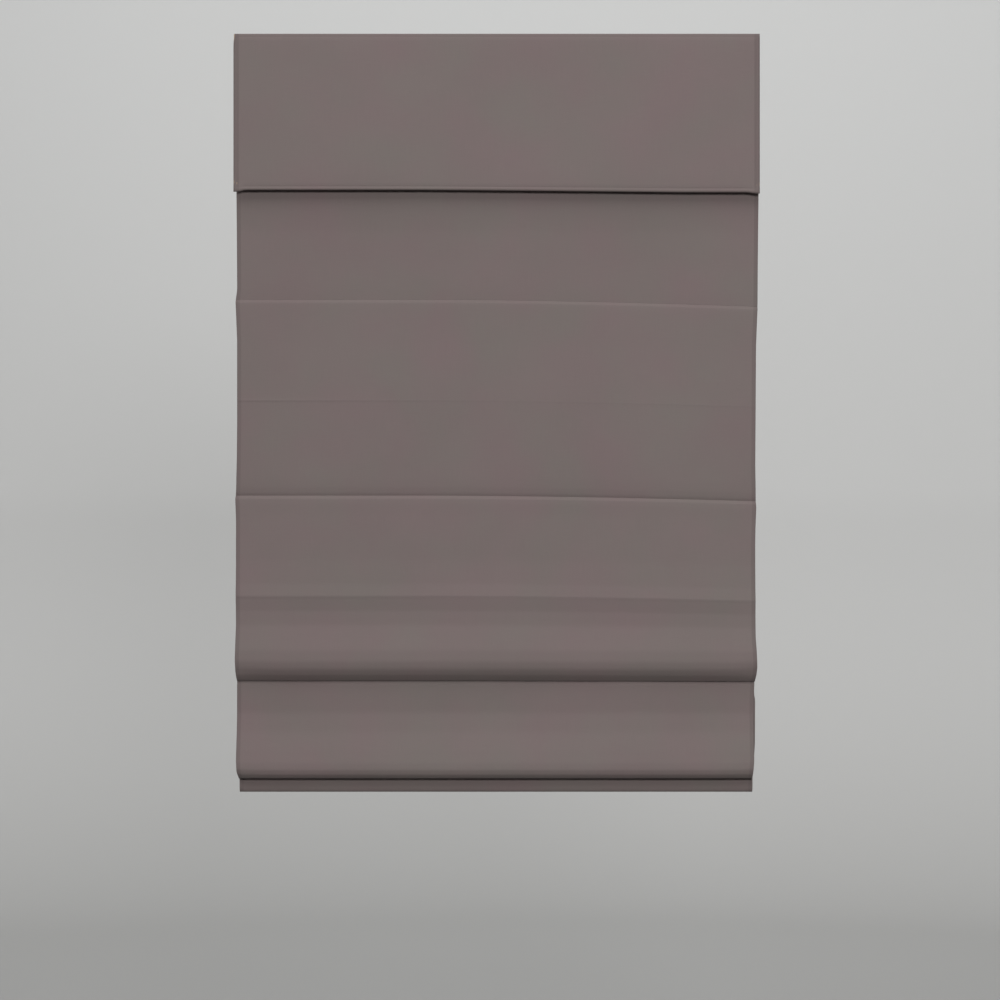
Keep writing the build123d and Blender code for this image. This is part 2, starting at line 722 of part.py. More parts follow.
# ---- power spring: a steel strip coiled on both drums and crossing between them ----
coil_inner = drum_core_radius + fit_gap
coil_outer = coil_inner + spring_coil_thickness
coil_mid = (coil_inner + coil_outer) / 2
cross_angle = math.asin(coil_mid / gear_pitch_radius)
cross_length = 2 * gear_pitch_radius * math.cos(cross_angle)
with BuildPart() as power_spring:
    with BuildSketch(Plane.YZ.offset(motor_x - spring_width / 2)):
        with Locations((rod_y, rod_z), (storage_y, rod_z)):
            Circle(coil_outer)
        with Locations(Location(((rod_y + storage_y) / 2, rod_z), math.degrees(cross_angle))):
            Rectangle(cross_length, spring_strip)
        with Locations((rod_y, rod_z), (storage_y, rod_z)):
            Circle(coil_inner, mode=Mode.SUBTRACT)
    extrude(amount=spring_width)
power_spring.part.label = "power_spring"
export_step(power_spring.part, "parts/power_spring.step")
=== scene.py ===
"""Looks of a cordless roman blind: cloth, valance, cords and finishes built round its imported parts."""

import logging
import math
from dataclasses import dataclass, field
from enum import Enum

import bpy
import numpy as np
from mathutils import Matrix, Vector


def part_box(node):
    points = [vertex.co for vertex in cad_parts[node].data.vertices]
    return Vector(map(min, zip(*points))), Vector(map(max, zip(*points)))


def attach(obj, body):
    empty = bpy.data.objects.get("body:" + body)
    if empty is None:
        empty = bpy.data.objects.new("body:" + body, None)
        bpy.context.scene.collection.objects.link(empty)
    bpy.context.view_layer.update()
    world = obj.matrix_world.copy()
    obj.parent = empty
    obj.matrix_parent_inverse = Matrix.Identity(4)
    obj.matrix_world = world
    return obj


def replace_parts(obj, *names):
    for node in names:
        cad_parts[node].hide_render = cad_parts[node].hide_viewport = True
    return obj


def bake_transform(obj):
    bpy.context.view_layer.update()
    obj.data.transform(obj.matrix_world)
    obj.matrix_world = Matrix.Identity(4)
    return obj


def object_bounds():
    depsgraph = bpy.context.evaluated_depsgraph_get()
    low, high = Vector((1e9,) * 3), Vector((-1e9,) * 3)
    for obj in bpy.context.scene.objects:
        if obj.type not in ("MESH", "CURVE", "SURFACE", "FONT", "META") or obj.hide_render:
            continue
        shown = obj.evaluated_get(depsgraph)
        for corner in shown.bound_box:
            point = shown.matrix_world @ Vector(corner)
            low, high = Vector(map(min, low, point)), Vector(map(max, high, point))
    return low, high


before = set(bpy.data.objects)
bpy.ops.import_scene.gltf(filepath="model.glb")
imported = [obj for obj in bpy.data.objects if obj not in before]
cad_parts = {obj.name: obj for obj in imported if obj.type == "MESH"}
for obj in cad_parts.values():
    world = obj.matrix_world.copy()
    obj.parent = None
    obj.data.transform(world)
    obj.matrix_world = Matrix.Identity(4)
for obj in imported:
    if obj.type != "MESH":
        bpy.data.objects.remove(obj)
CAD_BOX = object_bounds()

logging.basicConfig(level=logging.INFO, format="%(message)s")
LOG = logging.getLogger("roman_blind")

MM = 0.001
VALANCE_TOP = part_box("valance_fabric")[1].z
CLOTH_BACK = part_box("batten_pocket_1")[0].y
CORD_Y = sum(c.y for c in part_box("ring_row_1")) / 2
CLOTH_WIDTH = round((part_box("shade_fabric")[1].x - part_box("shade_fabric")[0].x) / MM, 1)
THREAD_RADIUS = 0.28 * MM
STATIONS = {side: sum(c.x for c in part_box(f"lift_cord_{side}")) / 2 for side in ("left", "centre", "right")}


def height(drop: float) -> float:
    """Height in metres of a line that lies the given drop, in millimetres, below the valance's top."""
    return VALANCE_TOP - drop * MM


def batten_height(number: int) -> float:
    """Height in metres of the middle of a batten."""
    low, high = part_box(f"batten_{number}")
    return (low.z + high.z) / 2


# ---------------------------------------------------------------- shader tools


class Sock:
    """A value in a material, which can be added, multiplied and compared like a number."""

    def __init__(self, graph: "Graph", link: bpy.types.NodeSocket) -> None:
        """Keeps the graph and the output socket."""
        self.graph = graph
        self.link = link

    def _math(self, operation: str, first: object, second: object = 0.0) -> "Sock":
        """One Math node on two values."""
        return self.graph.node("ShaderNodeMath", {"operation": operation}, {0: first, 1: second})

    def __add__(self, other: object) -> "Sock":
        """self + other."""
        return self._math("ADD", self, other)

    def __radd__(self, other: object) -> "Sock":
        """other + self."""
        return self._math("ADD", other, self)

    def __sub__(self, other: object) -> "Sock":
        """self - other."""
        return self._math("SUBTRACT", self, other)

    def __rsub__(self, other: object) -> "Sock":
        """other - self."""
        return self._math("SUBTRACT", other, self)

    def __mul__(self, other: object) -> "Sock":
        """self * other."""
        return self._math("MULTIPLY", self, other)

    def __rmul__(self, other: object) -> "Sock":
        """other * self."""
        return self._math("MULTIPLY", other, self)

    def __gt__(self, other: object) -> "Sock":
        """1 where self is above other."""
        return self._math("GREATER_THAN", self, other)

    def __lt__(self, other: object) -> "Sock":
        """1 where self is below other."""
        return self._math("LESS_THAN", self, other)

    def __abs__(self) -> "Sock":
        """Size without sign."""
        return self._math("ABSOLUTE", self)

    def sine(self) -> "Sock":
        """Sine of the value in radians."""
        return self._math("SINE", self)


class Graph:
    """The node tree of one material."""

    def __init__(self, name: str) -> None:
        """Starts a material that holds only its output and one Principled shader.

        Args:
            name: Name of the material.
        """
        self.material = bpy.data.materials.new(name)
        self.material.use_nodes = True
        self.tree = self.material.node_tree
        self.tree.nodes.clear()
        self.output = self.tree.nodes.new("ShaderNodeOutputMaterial")
        self.shader = self.tree.nodes.new("ShaderNodeBsdfPrincipled")
        self.tree.links.new(self.shader.outputs[0], self.output.inputs[0])

    def feed(self, socket: bpy.types.NodeSocket, value: object) -> None:
        """Links a Sock to an input, or sets a plain value on it.

        Args:
            socket: The input.
            value: The Sock or the plain value.
        """
        if isinstance(value, Sock):
            self.tree.links.new(value.link, socket)
        else:
            socket.default_value = value

    def node(
        self,
        kind: str,
        settings: dict[str, object] | None = None,
        values: dict[object, object] | None = None,
        outlet: object = 0,
    ) -> Sock:
        """Adds any node.

        Args:
            kind: The node's type name.
            settings: Its properties, set before its sockets; "stops" fills a ramp.
            values: Input name or index to a value or Sock.
            outlet: Name or index of the output that is wanted.

        Returns:
            The output as a Sock.
        """
        made = self.tree.nodes.new(kind)
        for name, value in (settings or {}).items():
            if name == "stops":
                ramp = made.color_ramp.elements
                while len(ramp) < len(value):
                    ramp.new(0.5)
                for element, (place, tone) in zip(ramp, value):
                    element.position = place
                    element.color = (*tone, 1.0)
            else:
                setattr(made, name, value)
        for name, value in (values or {}).items():
            self.feed(made.inputs[name], value)
        return Sock(self, made.outputs[outlet])

    def place(self) -> Sock:
        """Position on the unmoved object, in metres."""
        return self.node("ShaderNodeTexCoord", outlet="Object")

    def cloth_place(self) -> tuple[Sock, Sock]:
        """Where the surface lies on the cloth, from the cloth's own map.

        Returns:
            The distances across and along the cloth, in metres.
        """
        both = self.node("ShaderNodeUVMap", {"uv_map": "Cloth"})
        across = self.node("ShaderNodeSeparateXYZ", values={0: both}, outlet="X")
        along = self.node("ShaderNodeSeparateXYZ", values={0: both}, outlet="Y")
        return across, along

    def point(self, x: object, y: object, z: object = 0.0) -> Sock:
        """A vector made of three values."""
        return self.node("ShaderNodeCombineXYZ", values={0: x, 1: y, 2: z})

    def noise(self, at: Sock, scale: float, detail: float = 2.0) -> Sock:
        """Smooth noise round 0.5."""
        return self.node("ShaderNodeTexNoise", values={"Vector": at, "Scale": scale, "Detail": detail})

    def stretched(self, at: Sock, stretch: tuple[float, float, float]) -> Sock:
        """A vector scaled by three numbers."""
        return self.node("ShaderNodeVectorMath", {"operation": "MULTIPLY"}, {0: at, 1: stretch})

    def tint(self, share: object, dark: tuple[float, ...], light: tuple[float, ...]) -> Sock:
        """A colour between two colours."""
        values = {"Factor": share, 6: (*dark, 1.0), 7: (*light, 1.0)}
        return self.node("ShaderNodeMix", {"data_type": "RGBA"}, values, 2)

    def bump(self, relief: Sock, depth: float, strength: float = 1.0) -> None:
        """Gives the shader a relief, in metres deep."""
        values = {"Height": relief, "Distance": depth, "Strength": strength}
        self.feed(self.shader.inputs["Normal"], self.node("ShaderNodeBump", values=values))

    def set(self, **values: object) -> None:
        """Sets the shader's sockets, with _ for a space in their names."""
        for name, value in values.items():
            self.feed(self.shader.inputs[name.replace("_", " ")], value)


def shade(tone: tuple[float, float, float], factor: float) -> tuple[float, float, float]:
    """A colour made darker or lighter by a factor."""
    return tuple(min(1.0, c * factor) for c in tone)


# ---------------------------------------------------------------- finishes


@dataclass(frozen=True)
class WovenCloth:
    """Fine plain weave in warm taupe, with painted shade along the turned side hems, where less light comes
    through two layers of cloth.
    """

    name: str = "taupe_cloth"
    tone: tuple[float, float, float] = (0.19, 0.152, 0.147)
    thread: float = 0.9 * MM
    width: float = CLOTH_WIDTH * MM
    edge: float = 6.0 * MM
    # How dark the painted shade on the turned side hems makes the cloth.
    hem_shade_factor: float = 0.84
    spread: float = 0.12
    yarns: float = 900.0
    slub_run: float = 30.0
    reed_run: float = 24.0
    drift: float = 2.4

    def make(self) -> bpy.types.Material:
        """Builds the material.

        Returns:
            The material.
        """
        g = Graph(self.name)
        across, along = g.cloth_place()
        turn = 2 * math.pi / self.thread
        weft = (across * turn).sine()
        warp = (along * turn).sine()
        weave = weft * warp * 0.5 + 0.5
        slub = g.noise(g.point(across * self.slub_run, along * self.yarns), 1.0, 3.0)
        reed = g.noise(g.point(across * self.yarns, along * self.reed_run), 1.0, 3.0)
        cloud = g.noise(g.point(across, along), 5.0, 3.0)
        hue = (g.noise(g.point(across, along, 3.7), 9.0, 2.0) - 0.5) * self.drift + 0.5
        # Painted shade: the strips over the turned side hems are made darker in the base colour.
        hem_shade_mask = abs(across) > self.width / 2 - self.edge
        tone = slub * 0.34 + reed * 0.26 + cloud * 0.4
        tone = (tone - 0.5) * 1.1 + 0.5
        tone = tone - hem_shade_mask * (0.5 * (1.0 - self.hem_shade_factor) / self.spread)
        plain = g.tint(tone, shade(self.tone, 1.0 - self.spread), shade(self.tone, 1.0 + self.spread))
        green_to_red = g.tint(hue, (0.975, 1.03, 1.0), (1.025, 0.975, 1.0))
        multiply = {"data_type": "RGBA", "blend_type": "MULTIPLY"}
        g.set(
            Base_Color=g.node("ShaderNodeMix", multiply, {"Factor": 1.0, 6: plain, 7: green_to_red}, 2),
            Roughness=0.72 + slub * 0.12,
            Sheen_Weight=0.12,
            Sheen_Roughness=0.45,
            Specular_IOR_Level=0.3,
        )
        g.bump(weave * 0.6 + slub * 0.5 + reed * 0.4, 0.12 * MM, 0.55)
        return g.material


@dataclass(frozen=True)
class WovenTape:
    """Close ribbed tape with a little nap, with painted shade in the grooves between its ribs."""

    name: str
    tone: tuple[float, float, float]
    rib: float = 1.6 * MM
    nap: float = 0.3

    def make(self) -> bpy.types.Material:
        """Builds the material.

        Returns:
            The material.
        """
        g = Graph(self.name)
        across, along = g.cloth_place()
        rib = (across * (2 * math.pi / self.rib)).sine() * 0.5 + 0.5
        fuzz = g.noise(g.point(across, along), 1400.0, 2.0)
        cloud = g.noise(g.point(across, along), 20.0, 2.0)
        g.set(
            # Base colour: darker in the grooves and lighter on the ribs, which is painted shade and
            # highlight, mixed with random tone.
            Base_Color=g.tint(rib * 0.4 + cloud * 0.6, shade(self.tone, 0.82), shade(self.tone, 1.12)),
            Roughness=0.8 + fuzz * 0.12,
            Sheen_Weight=self.nap,
        )
        g.bump(rib * (1.0 - self.nap) + fuzz * self.nap, 0.25 * MM, 0.7)
        return g.material


@dataclass(frozen=True)
class Braid:
    """Braided cord or plain sewing thread, with painted shade between the strands."""

    name: str
    tone: tuple[float, float, float]
    pitch: float = 1.5 * MM

    def make(self) -> bpy.types.Material:
        """Builds the material.

        Returns:
            The material.
        """
        g = Graph(self.name)
        across, along = g.cloth_place()
        lay = along * (2 * math.pi / self.pitch)
        around = across * (8 * math.pi)
        strand = (lay + around).sine() * (lay - around).sine() * 0.5 + 0.5
        g.set(
            # Painted shade: the base colour darkens between the strands, where the relief is low, and
            # lightens on their crowns.
            Base_Color=g.tint(strand, shade(self.tone, 0.7), shade(self.tone, 1.15)),
            Roughness=0.6 + strand * 0.15,
            Sheen_Weight=0.2,
        )
        g.bump(strand, 0.12 * MM, 0.6)
        return g.material


@dataclass(frozen=True)
class Paint:
    """Powder coat on metal: fine orange peel, a few faint scuffs."""

    name: str
    tone: tuple[float, float, float]
    roughness: float = 0.42
    peel: float = 0.06 * MM

    def make(self) -> bpy.types.Material:
        """Builds the material.

        Returns:
            The material.
        """
        g = Graph(self.name)
        at = g.place()
        peel = g.noise(at, 900.0, 2.0)
        cloud = g.noise(at, 14.0, 4.0)
        g.set(
            Base_Color=g.tint(cloud, shade(self.tone, 0.93), shade(self.tone, 1.04)),
            Roughness=self.roughness + cloud * 0.14,
            Coat_Weight=0.1,
        )
        g.bump(peel, self.peel, 0.5)
        return g.material


@dataclass(frozen=True)
class Moulded:
    """Moulded plastic with a fine spark-eroded grain."""

    name: str
    tone: tuple[float, float, float]
    roughness: float = 0.5
    grain: float = 0.04 * MM

    def make(self) -> bpy.types.Material:
        """Builds the material.

        Returns:
            The material.
        """
        g = Graph(self.name)
        at = g.place()
        grain = g.noise(at, 1600.0, 2.0)
        cloud = g.noise(at, 30.0, 3.0)
        g.set(
            Base_Color=g.tint(cloud, shade(self.tone, 0.95), shade(self.tone, 1.03)),
            Roughness=self.roughness + cloud * 0.1,
            Subsurface_Weight=0.05,
        )
        g.bump(grain, self.grain, 0.5)
        return g.material


class Grain(Enum):
    """Which way the drawing lines of a metal run."""

    LENGTHWAYS = (6.0, 1500.0, 1500.0)
    NONE = (300.0, 300.0, 300.0)


@dataclass(frozen=True)
class Metal:
    """Bare or plated metal with drawing lines or a crystalline bloom."""

    name: str
    tone: tuple[float, float, float]
    roughness: float = 0.3
    grain: Grain = Grain.LENGTHWAYS

    def make(self) -> bpy.types.Material:
        """Builds the material.

        Returns:
            The material.
        """
        g = Graph(self.name)
        lines = g.noise(g.stretched(g.place(), self.grain.value), 1.0, 3.0)
        bloom = g.noise(g.place(), 60.0, 3.0)
        g.set(
            Base_Color=g.tint(lines * 0.5 + bloom * 0.5, shade(self.tone, 0.86), shade(self.tone, 1.08)),
            Metallic=1.0,
            Roughness=self.roughness + lines * 0.12 + bloom * 0.08,
        )
        g.bump(lines, 0.02 * MM, 0.4)
        return g.material


@dataclass(frozen=True)
class Hardboard:
    """Thin pressed fibre board."""

    name: str
    tone: tuple[float, float, float]

    def make(self) -> bpy.types.Material:
        """Builds the material.

        Returns:
            The material.
        """
        g = Graph(self.name)
        at = g.place()
        fibre = g.noise(g.stretched(at, (250.0, 250.0, 700.0)), 1.0, 5.0)
        cloud = g.noise(at, 9.0, 4.0)
        g.set(
            Base_Color=g.tint(fibre * 0.6 + cloud * 0.4, shade(self.tone, 0.7), shade(self.tone, 1.25)),
            Roughness=0.72 + fibre * 0.15,
        )
        g.bump(fibre, 0.15 * MM, 0.6)
        return g.material


@dataclass
class Finishes:
    """Every finish, under the name of its material slot."""

    made: dict[str, bpy.types.Material] = field(default_factory=dict)

    def build(self) -> "Finishes":
        """Makes the materials.

        Returns:
            Itself, with the materials made.
        """
        recipes = {
            "cloth": WovenCloth(),
            "board": Hardboard("hardboard", (0.36, 0.27, 0.18)),
            "rail_paint": Paint("rail_paint", (0.78, 0.77, 0.74)),
            "bracket_paint": Paint("bracket_paint", (0.74, 0.73, 0.7), 0.5),
            "bar_paint": Paint("bar_paint", (0.56, 0.55, 0.53), 0.5),
            "cap_plastic": Moulded("cap_plastic", (0.76, 0.75, 0.72), 0.45),
            "clip_plastic": Moulded("clip_plastic", (0.8, 0.8, 0.79), 0.32),
            "case_plastic": Moulded("case_plastic", (0.8, 0.8, 0.78), 0.5),
            "drum_plastic": Moulded("drum_plastic", (0.6, 0.6, 0.58), 0.45),
            "ring_plastic": Moulded("ring_plastic", (0.78, 0.77, 0.73), 0.28, 0.01 * MM),
            "spring_steel": Metal("spring_steel", (0.5, 0.51, 0.53), 0.22),
            "zinc_steel": Metal("zinc_steel", (0.6, 0.6, 0.58), 0.34, Grain.NONE),
            "rod_aluminium": Metal("rod_aluminium", (0.68, 0.68, 0.69), 0.28),
            "batten_aluminium": Metal("batten_aluminium", (0.68, 0.68, 0.69), 0.34),
            "pocket_tape": WovenTape("pocket_tape", (0.3, 0.26, 0.24)),
            "hook_tape": WovenTape("hook_tape", (0.66, 0.65, 0.62), 2.0 * MM, 0.1),
            "loop_tape": WovenTape("loop_tape", (0.64, 0.63, 0.6), 2.4 * MM, 0.6),
            "cord": Braid("cord", (0.66, 0.64, 0.59)),
            "thread": Braid("thread", (0.17, 0.14, 0.13), 0.6 * MM),
        }
        for slot, recipe in recipes.items():
            self.made[slot] = recipe.make()
        return self

    def dress(self, piece: bpy.types.Object, slot: str, finish: str | None = None) -> None:
        """Gives a piece its finish.

        Args:
            piece: The object to dress.
            slot: The record's material slot.
            finish: Another finish's name, where it isn't the slot's own.
        """
        piece.data.materials.clear()
        piece.data.materials.append(self.made[finish or slot])


@dataclass
class Assembly:
    """A group of pieces that are built and dressed together."""

    finishes: Finishes

    def build(self) -> list[bpy.types.Object]:
        """Builds and dresses the pieces, and returns them."""
        raise NotImplementedError


# ---------------------------------------------------------------- mesh tools


def travel(line: np.ndarray) -> np.ndarray:
    """Distance along a line to each of its points."""
    return np.concatenate([[0], np.cumsum(np.linalg.norm(np.diff(line, axis=0), axis=1))])


def hump(off: np.ndarray, reach: float, power: int = 2) -> np.ndarray:
    """A smooth bump: 1 where off is 0, and near 0 from twice the reach on."""
    return np.exp(-((off / reach) ** power))


def rounded_path(
    points: list[tuple[float, float, float]], step: float, bend: float = 9.0, fine: tuple[float, ...] = ()
) -> np.ndarray:
    """A polyline with rounded corners, in points close together where it bends.

    Args:
        points: (first, second, corner radius) of each corner, all in millimetres.
        step: Spacing on the straights, in millimetres.
        bend: Most degrees that the line turns between two points.
        fine: Places on the first axis where the points lie closer together.

    Returns:
        The points as rows of two numbers, in millimetres.
    """
    arc_points, crowd, crowd_reach = 25, 6.0, 7.0
    at = np.array([p[:2] for p in points], float)
    dense = [at[0]]
    for before, here, after, (_, _, radius) in zip(at, at[1:], at[2:], points[1:-1]):
        back, ahead = before - here, after - here
        room = 0.49 * min(np.linalg.norm(back), np.linalg.norm(ahead))
        back, ahead = back / np.linalg.norm(back), ahead / np.linalg.norm(ahead)
        half = math.acos(max(-1.0, min(1.0, float(back @ ahead)))) / 2
        reach = min(room, radius / max(math.tan(half), 1e-6))
        start, end = here + back * reach, here + ahead * reach
        share = np.linspace(0, 1, arc_points)[:, None]
        first, middle, last = (1 - share) ** 2, 2 * math.sin(half) * share * (1 - share), share**2
        dense.extend((first * start + middle * here + last * end) / (first + middle + last))
    dense.append(at[-1])
    for place in fine:
        dense = thickened(dense, place)
    line = np.array(dense)
    gaps = np.linalg.norm(np.diff(line, axis=0), axis=1)
    line = line[np.concatenate([[True], gaps > 1e-6])]
    legs = np.diff(line, axis=0)
    angle = np.unwrap(np.arctan2(legs[:, 1], legs[:, 0]))
    turned = np.abs(np.diff(angle, prepend=angle[0]))
    middle = (line[:-1, 0] + line[1:, 0]) / 2
    close = sum((crowd * hump(middle - place, crowd_reach) for place in fine), 1.0)
    cost = np.linalg.norm(legs, axis=1) / step * close + turned / math.radians(bend)
    total = np.concatenate([[0], np.cumsum(cost)])
    wanted = np.linspace(0, total[-1], max(3, int(math.ceil(total[-1])) + 1))
    return np.stack([np.interp(wanted, total, line[:, k]) for k in range(2)], axis=1)


def thickened(line: list[np.ndarray], place: float, reach: float = 16.0) -> list[np.ndarray]:
    """Adds points to a line of straight legs near a place on its first axis.

    Args:
        line: The points, in millimetres.
        place: The place.
        reach: How far from the place points are added.

    Returns:
        The line with its added points.
    """
    made = [line[0]]
    for before, after in zip(line, line[1:]):
        if max(before[0], after[0]) > place - reach and min(before[0], after[0]) < place + reach:
            count = int(np.linalg.norm(after - before)) + 1
            made.extend(before + (after - before) * k / count for k in range(1, count))
        made.append(after)
    return made


def grid_object(name: str, points: np.ndarray, across: np.ndarray, along: np.ndarray) -> bpy.types.Object:
    """A smooth sheet of four-sided faces.

    Args:
        name: Name of the object.
        points: Array of rows by columns by 3, in metres.
        across: Map distance of each column, in metres.
        along: Map distance of each row, in metres.

    Returns:
        The object, linked to the scene.
    """
    rows, columns = points.shape[:2]
    index = np.arange(rows * columns).reshape(rows, columns)
    faces = np.stack([index[:-1, :-1], index[1:, :-1], index[1:, 1:], index[:-1, 1:]], axis=-1).reshape(-1, 4)
    flat_map = np.stack(np.broadcast_arrays(across[None, :], along[:, None]), axis=-1).reshape(-1, 2)
    return mesh_object(name, points.reshape(-1, 3), faces.tolist(), flat_map)


def linked(name: str, data: bpy.types.ID) -> bpy.types.Object:
    """Makes an object of a mesh, light or camera.

    Args:
        name: Name of the object.
        data: What it shows.

    Returns:
        The object, linked to the scene.
    """
    made = bpy.data.objects.new(name, data)
    bpy.context.scene.collection.objects.link(made)
    return made


def mesh_object(
    name: str, points: np.ndarray, faces: list[list[int]], flat_map: np.ndarray
) -> bpy.types.Object:
    """An object made of points, faces and a map in metres.

    Args:
        name: Name of the object.
        points: Rows of three numbers, in metres.
        faces: Each face's point numbers.
        flat_map: Map place of each point.

    Returns:
        The object, smooth and linked to the scene.
    """
    mesh = bpy.data.meshes.new(name)
    mesh.from_pydata(points.tolist(), [], faces)
    layer = mesh.uv_layers.new(name="Cloth")
    corners = np.zeros(len(mesh.loops), np.int32)
    mesh.loops.foreach_get("vertex_index", corners)
    layer.data.foreach_set("uv", flat_map[corners].astype(np.float32).ravel())
    mesh.polygons.foreach_set("use_smooth", np.ones(len(mesh.polygons), bool))
    mesh.update()
    return linked(name, mesh)


def thicken(piece: bpy.types.Object, thickness: float) -> None:
    """Gives a sheet its thickness, equally to both sides.

    Args:
        piece: The sheet.
        thickness: Thickness in metres.
    """
    solid = piece.modifiers.new("thickness", "SOLIDIFY")
    solid.thickness = thickness
    solid.offset = 0.0
    solid.use_even_offset = False


def tube(name: str, line: np.ndarray, radius: float, sides: int = 8) -> bpy.types.Object:
    """A closed round tube along a line.

    Args:
        name: Name of the object.
        line: Rows of three numbers, in metres.
        radius: Tube radius in metres.
        sides: Points round the tube.

    Returns:
        The object.
    """
    legs = np.gradient(line, axis=0)
    legs /= np.linalg.norm(legs, axis=1)[:, None]
    helper = np.array([1.0, 0.0, 0.0]) if abs(legs[0, 0]) < 0.9 else np.array([0.0, 1.0, 0.0])
    first = np.cross(legs, helper)
    first /= np.linalg.norm(first, axis=1)[:, None]
    second = np.cross(legs, first)
    turn = np.linspace(0, 2 * math.pi, sides, endpoint=False)
    ring = np.cos(turn)[None, :, None] * first[:, None] + np.sin(turn)[None, :, None] * second[:, None]
    points = (line[:, None] + ring * radius).reshape(-1, 3)
    rows = len(line)
    index = np.arange(rows * sides).reshape(rows, sides)
    around = np.roll(index, -1, axis=1)
    faces = np.stack([index[:-1], around[:-1], around[1:], index[1:]], axis=-1).reshape(-1, 4).tolist()
    faces += [index[0, ::-1].tolist(), index[-1].tolist()]
    flat_map = np.stack([np.tile(np.linspace(0, 1, sides), rows), np.repeat(travel(line), sides)], axis=1)
    return mesh_object(name, points, faces, flat_map)


def stitches(name: str, rows: list[np.ndarray], out: tuple[float, float, float]) -> bpy.types.Object:
    """Rows of sewn stitches as small raised beads of thread.

    Args:
        name: Name of the object.
        rows: Each row's stitches as (start, end) pairs of points, in metres.
        out: Direction in which the thread stands up from the cloth.

    Returns:
        One object that holds them all.
    """
    rise, sides = 0.22 * MM, 6
    rings = ((0.0, 0.35, 0.0), (0.2, 1.0, 0.8), (0.8, 1.0, 0.8), (1.0, 0.35, 0.0))
    up = np.array(out)
    points, faces, flat_map = [], [], []
    for start, end in (stitch for row in rows for stitch in row):
        along = (end - start) / np.linalg.norm(end - start)
        side = np.cross(along, up)
        first = len(points)
        for share, size, lift in rings:
            middle = start + (end - start) * share + up * rise * lift
            for k in range(sides):
                turn = k * math.pi / 3
                points.append(middle + (side * math.cos(turn) + up * math.sin(turn)) * THREAD_RADIUS * size)
                flat_map.append((k / (sides - 1), share * 3.0 * MM))
        index = np.arange(first, len(points)).reshape(len(rings), sides)
        around = np.roll(index, -1, axis=1)
        faces += np.stack([index[:-1], around[:-1], around[1:], index[1:]], axis=-1).reshape(-1, 4).tolist()
        faces += [index[0, ::-1].tolist(), index[-1].tolist()]
    return mesh_object(name, np.array(points), faces, np.array(flat_map))


def stitch_row(start: np.ndarray, end: np.ndarray, length: float, gap: float) -> np.ndarray:
    """Stitches of one straight row.

    Args:
        start: Where the row starts, in metres.
        end: Where it ends.
        length: Length of a stitch.
        gap: Gap between two stitches.

    Returns:
        The stitches as (start, end) pairs of points.
    """
    whole = np.linalg.norm(end - start)
    count = max(1, int(whole / (length + gap)))
    pitch = whole / count
    along = (end - start) / whole
    first = start + along * np.arange(count)[:, None] * pitch
    return np.stack([first, first + along * (pitch - gap)], axis=1)


# ---------------------------------------------------------------- cloth


@dataclass
class Panel:
    """One stretch of the shade cloth between two lines that move differently.

    Each fold point is (drop below the valance's top, distance in front of the cloth's plane, corner
    radius). Sway lists are (drop, distance outwards) of the side edges. A mark is a pressed line: its
    drop, its height, then its strength at the left, the middle and the right. Lengths are in millimetres.
    """

    name: str
    bodies: tuple[str, ...]
    fold: list[tuple[float, float, float]]
    bend_from: float = 0.0
    bend_to: float = 0.0
    sway_left: list[tuple[float, float]] = field(default_factory=lambda: [(0, 0)])
    sway_right: list[tuple[float, float]] = field(default_factory=lambda: [(0, 0)])
    ripple: float = 0.5
    slump: float = 0.0
    marks: list[tuple[float, ...]] = field(default_factory=list)


